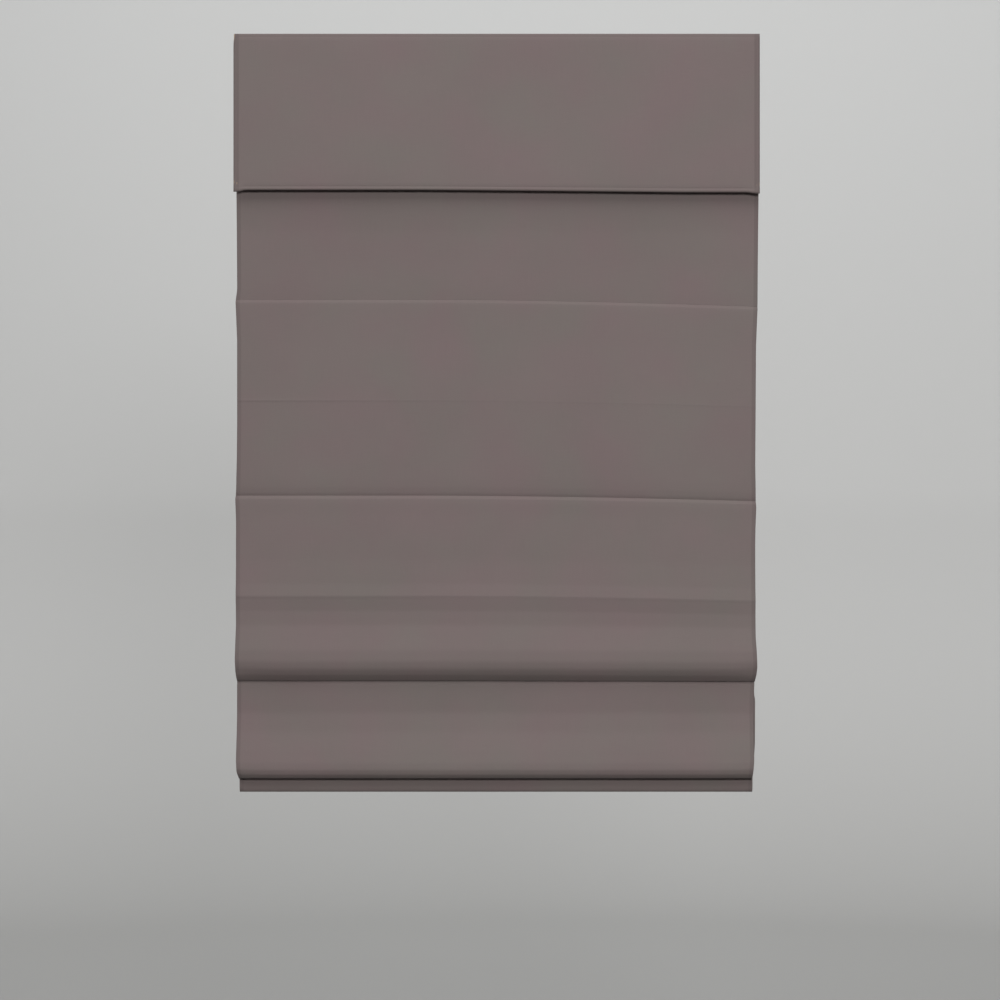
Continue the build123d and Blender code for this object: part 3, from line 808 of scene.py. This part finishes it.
@dataclass
class ShadeCloth(Assembly):
    """The length of cloth that hangs from the headrail, with its turned side hems."""

    width: float = CLOTH_WIDTH
    hem: float = 25.0
    turn: float = 0.65
    thickness: float = 0.8
    air: float = 0.1
    columns: int = 126
    step: float = 5.0
    support: float = 0.12
    calm_reach: float = 60.0
    slump_reach: float = 26.0
    slump_out: float = 12.0
    droop_from: float = -120.0
    droop_curve: float = 1.7
    droop: tuple[tuple[float, float], ...] = (
        (300, 0), (448, 12.0), (783, 9.6), (950, 8.4), (1056, 1.6), (1092, 1.4), (1200, 0)
    )
    mark_above: float = 3.4
    mark_below: float = 1.5
    mark_places: tuple[float, ...] = (-400, 0, 400)
    waves: tuple[tuple[float, float, float], ...] = (
        (410, 900, 1.0), (230, 520, 0.7), (120, 330, 0.45), (64, 240, 0.2)
    )
    wave_count: int = 3
    wave_lean: float = 0.35
    seed: int = 7

    def panels(self) -> list[Panel]:
        """The cloth's panels.

        Returns:
            The panels, from the headrail down to the hem.
        """
        left = [(273, -0.8), (430, -0.8), (449, 1.9), (464, 1.2), (515, -0.8), (651, -1.0), (719, -0.3),
                (770, 1.0), (785, 2.4), (821, 1.1), (958, 0.8), (1000, 0.3), (1060, 1.4), (1080, 0.8),
                (1092, -0.4)]
        right = [(273, 2.2), (380, 1.8), (449, 1.6), (465, 0.8), (515, -1.1), (600, -1.7), (719, -2.4),
                 (775, -1.4), (792, -0.6), (825, -2.0), (855, -2.6), (1017, -2.7), (1040, -1.6),
                 (1072, -0.4), (1084, -1.4), (1092, -3.0)]
        return [
            Panel(
                "cloth_head", ("headrail", "batten_1"),
                [(12, 0, 0), (120, 8.6, 120), (228, 17.2, 60), (262, 17.4, 40), (290, 14.6, 60),
                 (330, 10.2, 80), (385, 6.8, 80), (430, 4.8, 60), (447, 3.6, 0)],
                246, 436, left, right,
            ),
            Panel(
                "cloth_upper", ("batten_1", "batten_2"),
                [(447, 3.6, 0), (452, 6.4, 3), (459, 6.6, 8), (520, 6.2, 60), (612, 7.2, 60),
                 (650, 6.8, 60), (720, 6.2, 100), (750, 5.6, 30), (766, 4.6, 30), (776, 3.0, 8),
                 (780, 1.4, 0)],
                624, 766, left, right, marks=[(618.5, 0.65, 1.0, 0.25, 0.4)],
            ),
            Panel(
                "cloth_roll", ("batten_2", "batten_3"),
                [(780, 1.4, 0), (785.2, 4.9, 3), (793, 5.4, 8), (812, 5.4, 30), (890, 7.8, 120),
                 (930, 11.2, 40), (949.6, 15.0, 3), (953.2, 14.7, 4), (976, 13.0, 20), (1000, 14.4, 50),
                 (1022, 20.2, 50), (1042, 25.8, 50), (1061, 27.4, 30), (1074, 24.8, 26), (1084, 18.6, 16),
                 (1091, 11.4, 8), (1094.8, 6.8, 2), (1093, 4.8, 1.2), (1067.5, 4.6, 2.2), (1067.5, 0, 2.2),
                 (1084.5, 0, 0)],
                958, 1060, left, right, 0.9, 3.0, marks=[(952.4, 0.4, 1.0, 0.2, 0.6)],
            ),
            Panel(
                "cloth_low_front", ("batten_3",),
                [(1084.5, 0, 0), (1090, 1.4, 5), (1096.4, 4.0, 6), (1101, 5.6, 8), (1110, 5.4, 14),
                 (1150, 4.8, 60), (1182, 10.4, 90), (1212, 20.6, 80), (1233, 26.6, 30), (1244, 27.6, 12),
                 (1252.6, 25.0, 9), (1258, 19.0, 6), (1259.8, 12.0, 3), (1259.6, 4.4, 2.4), (1255, 2.6, 2),
                 (1249, 2.6, 0)],
                0, 0, [(1085, -0.8), (1229, -0.6), (1248, -1.6), (1258, -4.2)],
                [(1085, -3.2), (1127, -5.2), (1229, -5.8), (1258, -8.2)], 0.9, 1.6,
            ),
            Panel(
                "cloth_low_rear", ("batten_3", "batten_4"),
                [(1249, 2.6, 0), (1200, 2.7, 60), (1130, 2.7, 60), (1098, 2.6, 1.3), (1098, 0, 1.3),
                 (1110, 0, 0)],
                1249, 1114, [(1090, -2.4), (1249, -3.0)],
                [(1092, -4.6), (1118, -4.0), (1126, -2.4), (1200, -2.8), (1249, -5.6)],
            ),
            Panel(
                "cloth_skirt", ("batten_4",),
                [(1110, 0, 0), (1200, 0.3, 120), (1278, 0.1, 40), (1282.4, -1.3, 5), (1284, -3.2, 1.6),
                 (1284, -6.0, 2.8), (1246, -5.6, 4), (1240, -1.7, 4), (1232, -1.7, 0)],
                0, 0, [(1100, -2.4), (1284, -4.6)], [(1100, -5.0), (1284, -6.6)], 0.3,
            ),
        ]

    def _columns(self) -> tuple[np.ndarray, np.ndarray, np.ndarray]:
        """The columns of points, with those of the turned side hems.

        Returns:
            Each column's place across the cloth, depth behind the face and distance on the flat cloth.
        """
        half, radius = self.width / 2, self.turn
        front = np.linspace(-half, half, self.columns)
        turn = np.linspace(0, math.pi, 6)[1:]
        inward = np.array([1.0, 8.0, 16.0, self.hem])
        side_x = np.concatenate([half + radius * np.sin(turn), half - inward])
        side_back = np.concatenate([radius * (1 - np.cos(turn)), np.full(4, 2 * radius)])
        side_flat = np.concatenate([half + radius * turn, half + radius * math.pi + inward])
        x = np.concatenate([-side_x[::-1], front, side_x])
        back = np.concatenate([side_back[::-1], np.zeros(self.columns), side_back])
        flat = np.concatenate([-side_flat[::-1], front, side_flat])
        return x, back, flat

    def _droop(self, x: np.ndarray, drop: np.ndarray) -> np.ndarray:
        """How far the creases hang lower towards the right.

        Args:
            x: Place of each column, in millimetres.
            drop: Drop of each row.

        Returns:
            Array of rows by columns, in millimetres.
        """
        share = np.clip((x - self.droop_from) / (self.width / 2 - self.droop_from), 0, 1)
        amount = np.interp(drop, *zip(*self.droop))
        return amount[:, None] * share[None, :] ** self.droop_curve

    def _marks(self, panel: Panel, x: np.ndarray, drop: np.ndarray) -> np.ndarray:
        """Pressed fold lines.

        Args:
            panel: The panel with its marks.
            x: Place of each column, in millimetres.
            drop: Drop of each row.

        Returns:
            Array of rows by columns, in millimetres.
        """
        made = np.zeros((len(drop), len(x)))
        for place, rise, *strength in panel.marks:
            off = drop - place
            line = np.where(off < 0, np.exp(off / self.mark_above), np.exp(-off / self.mark_below))
            made += rise * line[:, None] * np.interp(x, self.mark_places, strength)[None, :]
        return made

    def _ripple(self, x: np.ndarray, along: np.ndarray, size: float) -> np.ndarray:
        """Soft unevenness of the hanging cloth.

        Args:
            x: Place of each column, in millimetres.
            along: Length of cloth above each row.
            size: Height of the waves.

        Returns:
            Array of rows by columns, in millimetres.
        """
        chance = np.random.default_rng(self.seed)
        made = np.zeros((len(along), len(x)))
        for wave_x, wave_s, share in self.waves:
            for _ in range(self.wave_count):
                phase_x, phase_s, lean = chance.uniform(0, 2 * math.pi, 3)
                slanted = x[None, :] + self.wave_lean * math.sin(lean) * along[:, None]
                wave = np.sin(2 * math.pi * slanted / wave_x + phase_x)
                part = share / self.wave_count
                made += part * wave * np.cos(2 * math.pi * along[:, None] / wave_s + phase_s)
        return made * size

    def sew(self, panel: Panel, along_start: float) -> tuple[bpy.types.Object, float]:
        """Builds one panel.

        Args:
            panel: The panel's outline.
            along_start: Length of cloth above it, in millimetres.

        Returns:
            The object, and the length of cloth down to its lower line.
        """
        path = rounded_path(panel.fold, self.step, fine=tuple(mark[0] for mark in panel.marks))
        first, last = (path[1] - path[0]) * self.support, (path[-2] - path[-1]) * self.support
        path = np.concatenate([path[:1], path[:1] + first, path[1:-1], path[-1:] + last, path[-1:]])
        drop, out = path[:, 0], path[:, 1]
        x, back, flat = self._columns()
        lengths = travel(path)
        slope = np.gradient(path, axis=0)
        slope /= np.linalg.norm(slope, axis=1)[:, None]
        level = np.minimum(lengths, lengths[-1] - lengths)
        calm = np.clip(level / self.calm_reach, 0, 1) ** 2
        uneven = self._ripple(x, along_start + lengths, panel.ripple) * calm[:, None]
        uneven += self._marks(panel, x, drop)
        half = self.width / 2
        edge = np.exp(-((half - np.abs(np.clip(x, -half, half))) / self.slump_reach))
        bulge = np.clip(out / self.slump_out - 1.0, 0, 1)
        slump = panel.slump * edge[None, :] * bulge[:, None]
        forward = out[:, None] + uneven - slump - back[None, :] * slope[:, 0][:, None]
        low = drop[:, None] + self._droop(x, drop) - 0.5 * slump + back[None, :] * slope[:, 1][:, None]
        sway = np.where(
            x[None, :] < 0,
            -np.interp(drop, *zip(*panel.sway_left))[:, None],
            np.interp(drop, *zip(*panel.sway_right))[:, None],
        )
        wide = x[None, :] + sway * np.clip(np.abs(x) / half, 0, 1)[None, :]
        deep = CLOTH_BACK - (self.thickness * 0.5 + self.air + forward) * MM
        points = np.stack([wide * MM, deep, height(0) - low * MM], axis=-1)
        made = grid_object(panel.name, points, flat * MM, (along_start + lengths) * MM)
        return made, along_start + lengths[-1]

    def build(self) -> list[bpy.types.Object]:
        """Builds, dresses and hangs every panel.

        Returns:
            The panels.
        """
        made, used = [], 0.0
        for panel in self.panels():
            piece, end = self.sew(panel, used)
            thicken(piece, self.thickness * MM)
            self.finishes.dress(piece, "cloth")
            if len(panel.bodies) == 2:
                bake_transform(piece)
            else:
                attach(piece, panel.bodies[0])
            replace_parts(piece, "shade_fabric")
            made.append(piece)
            used = end
        return made


@dataclass
class Valance(Assembly):
    """The flat front: a thin board wrapped in the same cloth."""

    turn_in: float = 30.0
    board_edge: float = 4.0
    bevel: float = 6.0
    face_margin: float = 2.0
    crowding: float = 0.25
    columns: int = 120
    rows: int = 38
    sag: float = 4.0
    pillow: float = 0.7
    waves: tuple[tuple[float, float], ...] = ((1.3, 0.35), (2.9, 0.22), (5.3, 0.12))
    corner_drop: float = 3.0
    corner_curl: float = 0.9
    corner_tuck: float = 0.8
    hem_bead: float = 0.8
    lean: float = 1.6
    thickness: float = 0.7
    seed: int = 11

    def build(self) -> list[bpy.types.Object]:
        """Builds the wrap and dresses it and its board.

        Returns:
            The cloth wrap and the board.
        """
        low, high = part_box("valance_fabric")
        half_x, half_z = (high.x - low.x) / 2 / MM, (high.z - low.z) / 2 / MM
        mid_z = (high.z + low.z) / 2 / MM
        front, rear = low.y / MM, high.y / MM
        # From the turned-in edge behind to the face: (inset from the outline, depth) of each ring.
        rings = [
            (self.turn_in, rear - 0.4), (18.0, rear - 0.4), (6.0, rear - 0.4), (1.6, rear - 0.5),
            (0.6, rear - 1.0), (0.35, rear - 1.9), (0.35, front + 2.9), (0.5, front + 2.0),
            (1.1, front + 1.3), (2.2, front + 0.85), (self.bevel - 1.5, front + 0.7),
            (self.bevel, front + 1.05), (self.bevel + 0.8, front + 0.75),
        ]
        x = self._spaced(half_x - self.bevel - self.face_margin, self.columns)
        z = self._spaced(half_z - self.bevel - self.face_margin, self.rows)
        grid_x, grid_z = np.meshgrid(x, z)
        points = [np.stack([grid_x, np.full_like(grid_x, front + 0.4), grid_z], axis=-1).reshape(-1, 3)]
        index = np.arange(grid_x.size).reshape(grid_x.shape)
        corners = [index[:-1, :-1], index[:-1, 1:], index[1:, 1:], index[1:, :-1]]
        faces = np.stack(corners, axis=-1).reshape(-1, 4).tolist()
        rim = np.concatenate([index[0, :-1], index[:-1, -1], index[-1, :0:-1], index[:0:-1, 0]])
        share = points[0][rim] / [x[-1], 1.0, z[-1]]
        previous = rim
        for inset, depth in rings[::-1]:
            wide, tall = share[:, 0] * (half_x - inset), share[:, 2] * (half_z - inset)
            first = sum(len(p) for p in points)
            points.append(np.stack([wide, np.full(len(rim), depth), tall], axis=-1))
            current = np.arange(first, first + len(rim))
            after, before = np.roll(current, -1), np.roll(previous, -1)
            faces += np.stack([previous, current, after, before], axis=-1).tolist()
            previous = current
        place = np.concatenate(points)
        flat_map = place[:, [0, 2]] * MM
        flat_map[:, 1] = -flat_map[:, 1] + half_z * MM
        self._shape(place, half_x, half_z)
        place[:, 2] += mid_z
        wrap = mesh_object("valance_wrap", place * MM, faces, flat_map)
        thicken(wrap, self.thickness * MM)
        self.finishes.dress(wrap, "cloth")
        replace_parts(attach(wrap, "headrail"), "valance_fabric")
        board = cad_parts["valance_board"]
        self.finishes.dress(board, "board")
        return [wrap, board]

    def _spaced(self, half: float, count: int) -> np.ndarray:
        """Places from -half to half, closer together near the ends."""
        even = np.linspace(-1, 1, count)
        return half * ((1 - self.crowding) * even + self.crowding * np.sin(even * math.pi / 2))

    def _shape(self, place: np.ndarray, half_x: float, half_z: float) -> None:
        """Adds the pillowing, the sag of the lower edge and its curled corners.

        Args:
            place: The wrap's points in millimetres, round its middle in height; they are moved.
            half_x: Half the valance's width.
            half_z: Half its height.
        """
        x, z = place[:, 0] / half_x, place[:, 2] / half_z
        face = np.clip((1 - np.abs(x)) * 14, 0, 1) * np.clip((1 - np.abs(z)) * 5, 0, 1)
        front = place[:, 1] < place[:, 1].mean() + 10
        place[:, 1] -= np.where(front, self.pillow * face, 0)
        chance = np.random.default_rng(self.seed)
        for wave, size in self.waves:
            phase = chance.uniform(0, 6.28, 2)
            place[:, 1] -= face * size * np.sin(wave * math.pi * x + phase[0]) * np.cos(wave * z + phase[1])
        above, below = (1 - z) * half_z, (z + 1) * half_z
        place[:, 2] -= self.sag * np.clip(-z, 0, 1) ** 3 * np.clip(x + 0.3, 0, 1) ** 1.2
        for side, size in ((-1, 1.0), (1, 0.7)):
            inward = (x - side) * half_x
            near, tuck = hump(inward, 15.0, 4) * size, hump(inward, 22.0) * size
            place[:, 2] -= self.corner_drop * near * hump(below, 7.0)
            place[:, 1] -= self.corner_curl * near * hump(below - 6.0, 3.0)
            place[:, 1] += self.corner_tuck * tuck * hump(below - 11.0, 2.4)
        place[:, 1] -= np.where(front, self.hem_bead * hump(below - 2.2, 2.6), 0)
        place[:, 0] += self.lean * hump(above, 10.0) * hump((x + 1) * half_x, 5.0)


@dataclass
class BattenSleeves(Assembly):
    """The sewn sleeve round each batten, its stitching and the stitches that hold its rings."""

    length: float = 874.0
    columns: int = 111
    lip: float = 1.9
    thickness: float = 0.5
    step: float = 3.0
    bend: float = 25.0
    wobbles: tuple[tuple[float, float], ...] = ((0.14, 17.0), (0.1, 7.3))
    seam_inset: float = 3.0
    seam_out: float = 0.62
    stitch: float = 3.0
    stitch_gap: float = 1.4
    tack_points: int = 25
    tack_shift: float = 1.1
    tack_out: float = 1.75
    tack_rise: float = 1.95

    def build(self) -> list[bpy.types.Object]:
        """Builds the four sleeves.

        Returns:
            The sleeves, their seams and the tacks of their rings.
        """
        made = []
        for number in range(1, 5):
            low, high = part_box(f"batten_pocket_{number}")
            mid = (low.z + high.z) / 2 / MM
            half = (high.z - low.z) / 2 / MM
            near, far = low.y / MM, high.y / MM
            outline = [
                (near + 0.3, mid + half + self.lip, 0), (near + 0.3, mid + half - 0.3, 0.8),
                (far - 0.3, mid + half - 0.6, 1.3), (far - 0.3, mid - half + 0.6, 1.3),
                (near + 0.3, mid - half + 0.3, 0.8), (near + 0.3, mid - half - self.lip, 0),
            ]
            path = rounded_path(outline, self.step, self.bend)
            x = np.linspace(-self.length / 2, self.length / 2, self.columns)
            (large, slow), (small, quick) = self.wobbles
            wobble = large * np.sin(x / slow + number) + small * np.sin(x / quick + 2 * number)
            belly = np.clip((path[:, 0] - near - 1.0) / 3.0, 0, 1)
            deep = path[:, 0][:, None] - (np.abs(wobble) * 1.2)[None, :] * belly[:, None]
            tall = path[:, 1][:, None] + wobble[None, :] * 0.6
            points = np.stack([np.broadcast_to(x[None, :], deep.shape), deep, tall], axis=-1)
            run = travel(path)
            sleeve = grid_object(f"sleeve_{number}", points * MM, x * MM, run * MM)
            thicken(sleeve, self.thickness * MM)
            self.finishes.dress(sleeve, "pocket_tape")
            body = f"batten_{number}"
            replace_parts(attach(sleeve, body), f"batten_pocket_{number}")
            seam = []
            for edge in (mid + half + self.lip / 2, mid - half - self.lip / 2):
                reach = self.length / 2 - self.seam_inset
                ends = [np.array([s * reach, near + self.seam_out, edge]) * MM for s in (-1, 1)]
                seam.append(stitch_row(*ends, self.stitch * MM, self.stitch_gap * MM))
            threads = [stitches(f"sleeve_stitches_{number}", seam, (0, 1, 0)), *self._tacks(number, far, mid)]
            for thread in threads:
                self.finishes.dress(thread, "pocket_tape", "thread")
                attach(thread, body)
            made += [sleeve, *threads]
        return made

    def _tacks(self, number: int, far: float, mid: float) -> list[bpy.types.Object]:
        """Loops of thread that sew the rings to a sleeve.

        Args:
            number: The sleeve's number.
            far: Depth of the sleeve's back, in millimetres.
            mid: Height of its middle.

        Returns:
            The loops, three a ring.
        """
        turn = np.linspace(0, 2 * math.pi, self.tack_points)
        deep = far + 0.9 - self.tack_out * np.cos(turn)
        tall = mid + self.tack_rise * np.sin(turn)
        made = []
        for side, x in STATIONS.items():
            for loop in range(3):
                wide = np.full(len(turn), x / MM + (loop - 1) * self.tack_shift)
                line = np.stack([wide, deep, tall], axis=-1) * MM
                made.append(tube(f"ring_tack_{number}_{side}_{loop}", line, THREAD_RADIUS, 6))
        return made


@dataclass
class FasteningTapes(Assembly):
    """The hooked tape on the headrail and the looped tape on the cloth."""

    columns: int = 240
    rows: int = 12
    hook_rough: float = 0.12
    loop_rough: float = 0.2
    tallest: float = 0.25
    base_share: float = 0.8
    seed: int = 5

    def build(self) -> list[bpy.types.Object]:
        """Builds both tapes.

        Returns:
            The tapes.
        """
        made = []
        chance = np.random.default_rng(self.seed)
        for name, rough in (("hook_tape", self.hook_rough), ("loop_tape", self.loop_rough)):
            low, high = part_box(name)
            x = np.linspace(low.x, high.x, self.columns)
            z = np.linspace(low.z, high.z, self.rows)
            tuft = chance.normal(0, rough * MM, (self.rows, self.columns))
            tuft = np.clip(tuft, -self.tallest * MM, self.tallest * MM)
            deep = (low.y + high.y) / 2 + tuft * 0.5
            points = np.stack(np.broadcast_arrays(x[None, :], deep, z[:, None]), axis=-1)
            tape = grid_object(f"{name}_strip", points, x, z - z[0])
            thicken(tape, (high.y - low.y) * self.base_share)
            self.finishes.dress(tape, name)
            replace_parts(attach(tape, "headrail"), name)
            made.append(tape)
        return made


# ---------------------------------------------------------------- cords and hardware


@dataclass
class LiftCords(Assembly):
    """The three cords in lengths between the rings, and their turns on the spools."""

    radius: float = 0.7
    rows: int = 22
    turns: float = 5.2
    turn_points: int = 28
    wrap_radius: float = 11.85

    def build(self) -> list[bpy.types.Object]:
        """Builds the cords.

        Returns:
            The cords' lengths and windings.
        """
        made = []
        carriers = ["headrail", "batten_1", "batten_2", "batten_3", "batten_4"]
        spans = list(zip(carriers, carriers[1:]))
        for side, x in STATIONS.items():
            low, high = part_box(f"lift_cord_{side}")
            stops = [high.z] + [batten_height(n) for n in (1, 2, 3)] + [low.z]
            for number, (pair, top, bottom) in enumerate(zip(spans, stops, stops[1:]), 1):
                z = np.linspace(top, bottom, self.rows)
                line = np.stack([np.full(self.rows, x), np.full(self.rows, CORD_Y), z], axis=-1)
                cord = tube(f"cord_{side}_{number}", line, self.radius * MM)
                self.finishes.dress(cord, "cord")
                end = batten_height(number) if number < 4 else bottom
                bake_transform(cord)
                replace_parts(cord, f"lift_cord_{side}")
                made.append(cord)
            made.append(self._winding(side))
        return made

    def _winding(self, side: str) -> bpy.types.Object:
        """Winds the cord's spare turns on its spool.

        Args:
            side: Name of the cord's station.

        Returns:
            The winding.
        """
        low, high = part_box(f"cord_winding_{side}")
        axis_y, axis_z = (low.y + high.y) / 2, (low.z + high.z) / 2
        count = int(self.turns * self.turn_points)
        turn = np.linspace(0, self.turns * 2 * math.pi, count)
        x = np.linspace(low.x + self.radius * MM, high.x - self.radius * MM, count)
        radius = self.wrap_radius * MM
        line = np.stack([x, axis_y - radius * np.cos(turn), axis_z + radius * np.sin(turn)], axis=-1)
        winding = tube(f"winding_{side}", line, self.radius * MM)
        self.finishes.dress(winding, "cord")
        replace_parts(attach(winding, "lift_rod"), f"cord_winding_{side}")
        return winding


@dataclass
class Hardware(Assembly):
    """The parts that keep their own shape: rail, brackets, clips, gear, battens, rings and bar."""

    slots: dict[str, str] = field(
        default_factory=lambda: {
            "headrail": "rail_paint",
            "end_cap": "cap_plastic",
            "wall_bracket": "bracket_paint",
            "mounting_clip": "zinc_steel",
            "clip_screws": "zinc_steel",
            "clip_nuts": "zinc_steel",
            "valance_clip": "clip_plastic",
            "batten_": "batten_aluminium",
            "ring_row": "ring_plastic",
            "bottom_bar": "bar_paint",
            "bar_cap": "cap_plastic",
            "cord_bead": "ring_plastic",
            "cord_grommet": "drum_plastic",
            "lift_cradle": "case_plastic",
            "lift_spool": "drum_plastic",
            "lift_rod": "rod_aluminium",
            "output_drum": "drum_plastic",
            "storage_drum": "drum_plastic",
            "motor_": "case_plastic",
            "power_spring": "spring_steel",
        }
    )

    def build(self) -> list[bpy.types.Object]:
        """Dresses every carried-over part.

        Returns:
            The parts.
        """
        made = []
        for name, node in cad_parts.items():
            slot = next((s for start, s in self.slots.items() if name.startswith(start)), None)
            if slot is None or node.hide_render or name.startswith("batten_pocket"):
                continue
            self.finishes.dress(node, slot)
            made.append(node)
        return made


# ---------------------------------------------------------------- studio


@dataclass
class Studio:
    """Pale floor swept up into a backdrop all round, with painted shade, soft lights and the camera."""

    floor_z: float = -2.25
    radius: float = 6.2
    cove: float = 1.4
    wall: float = 5.1
    camera_x: float = 0.0057
    camera_z: float = -0.7655
    distance: float = 4.5
    view_width: float = 1.688
    sides: int = 96
    # Painted shade: how dark the floor is made at its front edge.
    front_shade: float = 0.5
    front_edge: float = -2.5
    back_edge: float = 1.0
    # Top of the painted shade ramp, and its stops from dark low down to pale up the wall.
    shade_top: float = 1.4
    shade_ramp: tuple[tuple[float, tuple[float, float, float]], ...] = (
        (0.0, (0.345, 0.344, 0.338)), (0.42, (0.53, 0.53, 0.524)), (1.0, (0.55, 0.553, 0.548))
    )
    key_azimuth: float = -12.0
    key_elevation: float = 49.0
    key_spread: float = 50.0
    key_power: float = 1.8
    fill_size: float = 0.8
    fill_power: float = 118.0
    backdrop_size: float = 2.2
    backdrop_power: float = 130.0
    sky_power: float = 0.05

    def build(self) -> None:
        """Builds the floor, the lights and the camera."""
        self._floor()
        side, rise = math.radians(self.key_azimuth), math.radians(self.key_elevation)
        shine = (-math.sin(side) * math.cos(rise), math.cos(side) * math.cos(rise), -math.sin(rise))
        self._lamp("key", "SUN", (0, 0, 0), shine, angle=math.radians(self.key_spread), energy=self.key_power)
        for name, place, target, size, power in (
            ("fill", (0.5, -4.9, 0.35), (0, -0.1, -0.7), self.fill_size, self.fill_power),
            ("backdrop", (0.0, 1.6, 2.9), (0, 5.6, 0.4), self.backdrop_size, self.backdrop_power),
        ):
            self._lamp(name, "AREA", place, target, shape="DISK", size=size, energy=power)
        self._world()
        self._camera()

    def _floor(self) -> None:
        """A round floor whose rim curves up into a wall."""
        turn = np.linspace(0, math.pi / 2, 14)
        inner = self.radius - self.cove
        profile = [(inner * 0.5, 0.0)]
        profile += [(inner + self.cove * math.sin(t), self.cove * (1 - math.cos(t))) for t in turn]
        profile.append((self.radius, self.wall))
        ring = np.linspace(0, 2 * math.pi, self.sides, endpoint=False)
        wide, tall = (np.array(column)[:, None] for column in zip(*profile))
        grid = np.broadcast_arrays(wide * np.cos(ring), wide * np.sin(ring), self.floor_z + tall)
        points = np.stack(grid, axis=-1).reshape(-1, 3)
        index = np.arange(len(points)).reshape(-1, self.sides)
        around = np.roll(index, -1, axis=1)
        faces = np.stack([index[:-1], index[1:], around[1:], around[:-1]], axis=-1).reshape(-1, 4).tolist()
        floor = mesh_object("studio_floor", points, [index[0].tolist(), *faces], points[:, :2])
        floor.data.materials.append(self._floor_shading())

    def _floor_shading(self) -> bpy.types.Material:
        """Matt floor with painted shade: darker low down and towards the front, paler up the wall, as the
        light falls off.

        Returns:
            The material.
        """
        g = Graph("pale_floor")
        level = g.node("ShaderNodeSeparateXYZ", values={0: g.place()}, outlet="Z")
        depth = g.node("ShaderNodeSeparateXYZ", values={0: g.place()}, outlet="Y")
        rising = {0: level, 1: self.floor_z, 2: self.shade_top, 3: 0.0, 4: 1.0}
        going_back = {0: depth, 1: self.front_edge, 2: self.back_edge, 3: self.front_shade, 4: 1.0}
        share = g.node("ShaderNodeMapRange", values=rising)
        # Painted shade: the colour darkens low down and towards the front of the floor.
        shade_ramp = g.node("ShaderNodeValToRGB", {"stops": self.shade_ramp}, {0: share})
        behind = g.node("ShaderNodeMapRange", values=going_back)
        pale = g.node("ShaderNodeVectorMath", {"operation": "SCALE"}, {0: shade_ramp, "Scale": behind})
        g.set(Base_Color=pale, Roughness=0.9, Specular_IOR_Level=0.1)
        return g.material

    def _lamp(
        self, name: str, kind: str, place: tuple[float, ...], target: tuple[float, ...], **settings: object
    ) -> None:
        """One soft light aimed at a point.

        Args:
            name: Name of the light.
            kind: Blender's type of light.
            place: Where it stands, in metres.
            target: Where it is aimed.
            **settings: Its own properties.
        """
        data = bpy.data.lights.new(name, kind)
        for setting, value in settings.items():
            setattr(data, setting, value)
        lamp = linked(name, data)
        lamp.location = place
        aim = Vector(target) - Vector(place)
        lamp.rotation_euler = aim.to_track_quat("-Z", "Y").to_euler()
        lamp.visible_camera = False

    def _world(self) -> None:
        """An even pale sky above the studio, and a plain colour transform."""
        world = bpy.data.worlds.new("soft_sky")
        world.use_nodes = True
        sky = world.node_tree.nodes["Background"]
        sky.inputs[0].default_value = (0.93, 0.96, 1.0, 1.0)
        sky.inputs[1].default_value = self.sky_power
        scene = bpy.context.scene
        scene.world = world
        scene.view_settings.view_transform = "Standard"
        scene.view_settings.look = "None"

    def _camera(self) -> None:
        """A level camera straight in front of the blind."""
        front = CAD_BOX[0].y
        data = bpy.data.cameras.new("front_camera")
        data.sensor_width = 36.0
        data.lens = data.sensor_width * self.distance / self.view_width
        data.clip_end = 100.0
        camera = linked("front_camera", data)
        camera.location = (self.camera_x, front - self.distance, self.camera_z)
        camera.rotation_euler = (math.pi / 2, 0, 0)
        bpy.context.scene.camera = camera


def main() -> None:
    """Builds the blind piece by piece, and then the studio round it."""
    finishes = Finishes().build()
    for assembly in (ShadeCloth, Valance, BattenSleeves, FasteningTapes, LiftCords, Hardware):
        for piece in assembly(finishes).build():
            LOG.info("%s: %s", assembly.__name__, piece.name)
    Studio().build()
    LOG.info("studio and sizes done")


if __name__ == "__main__":
    main()
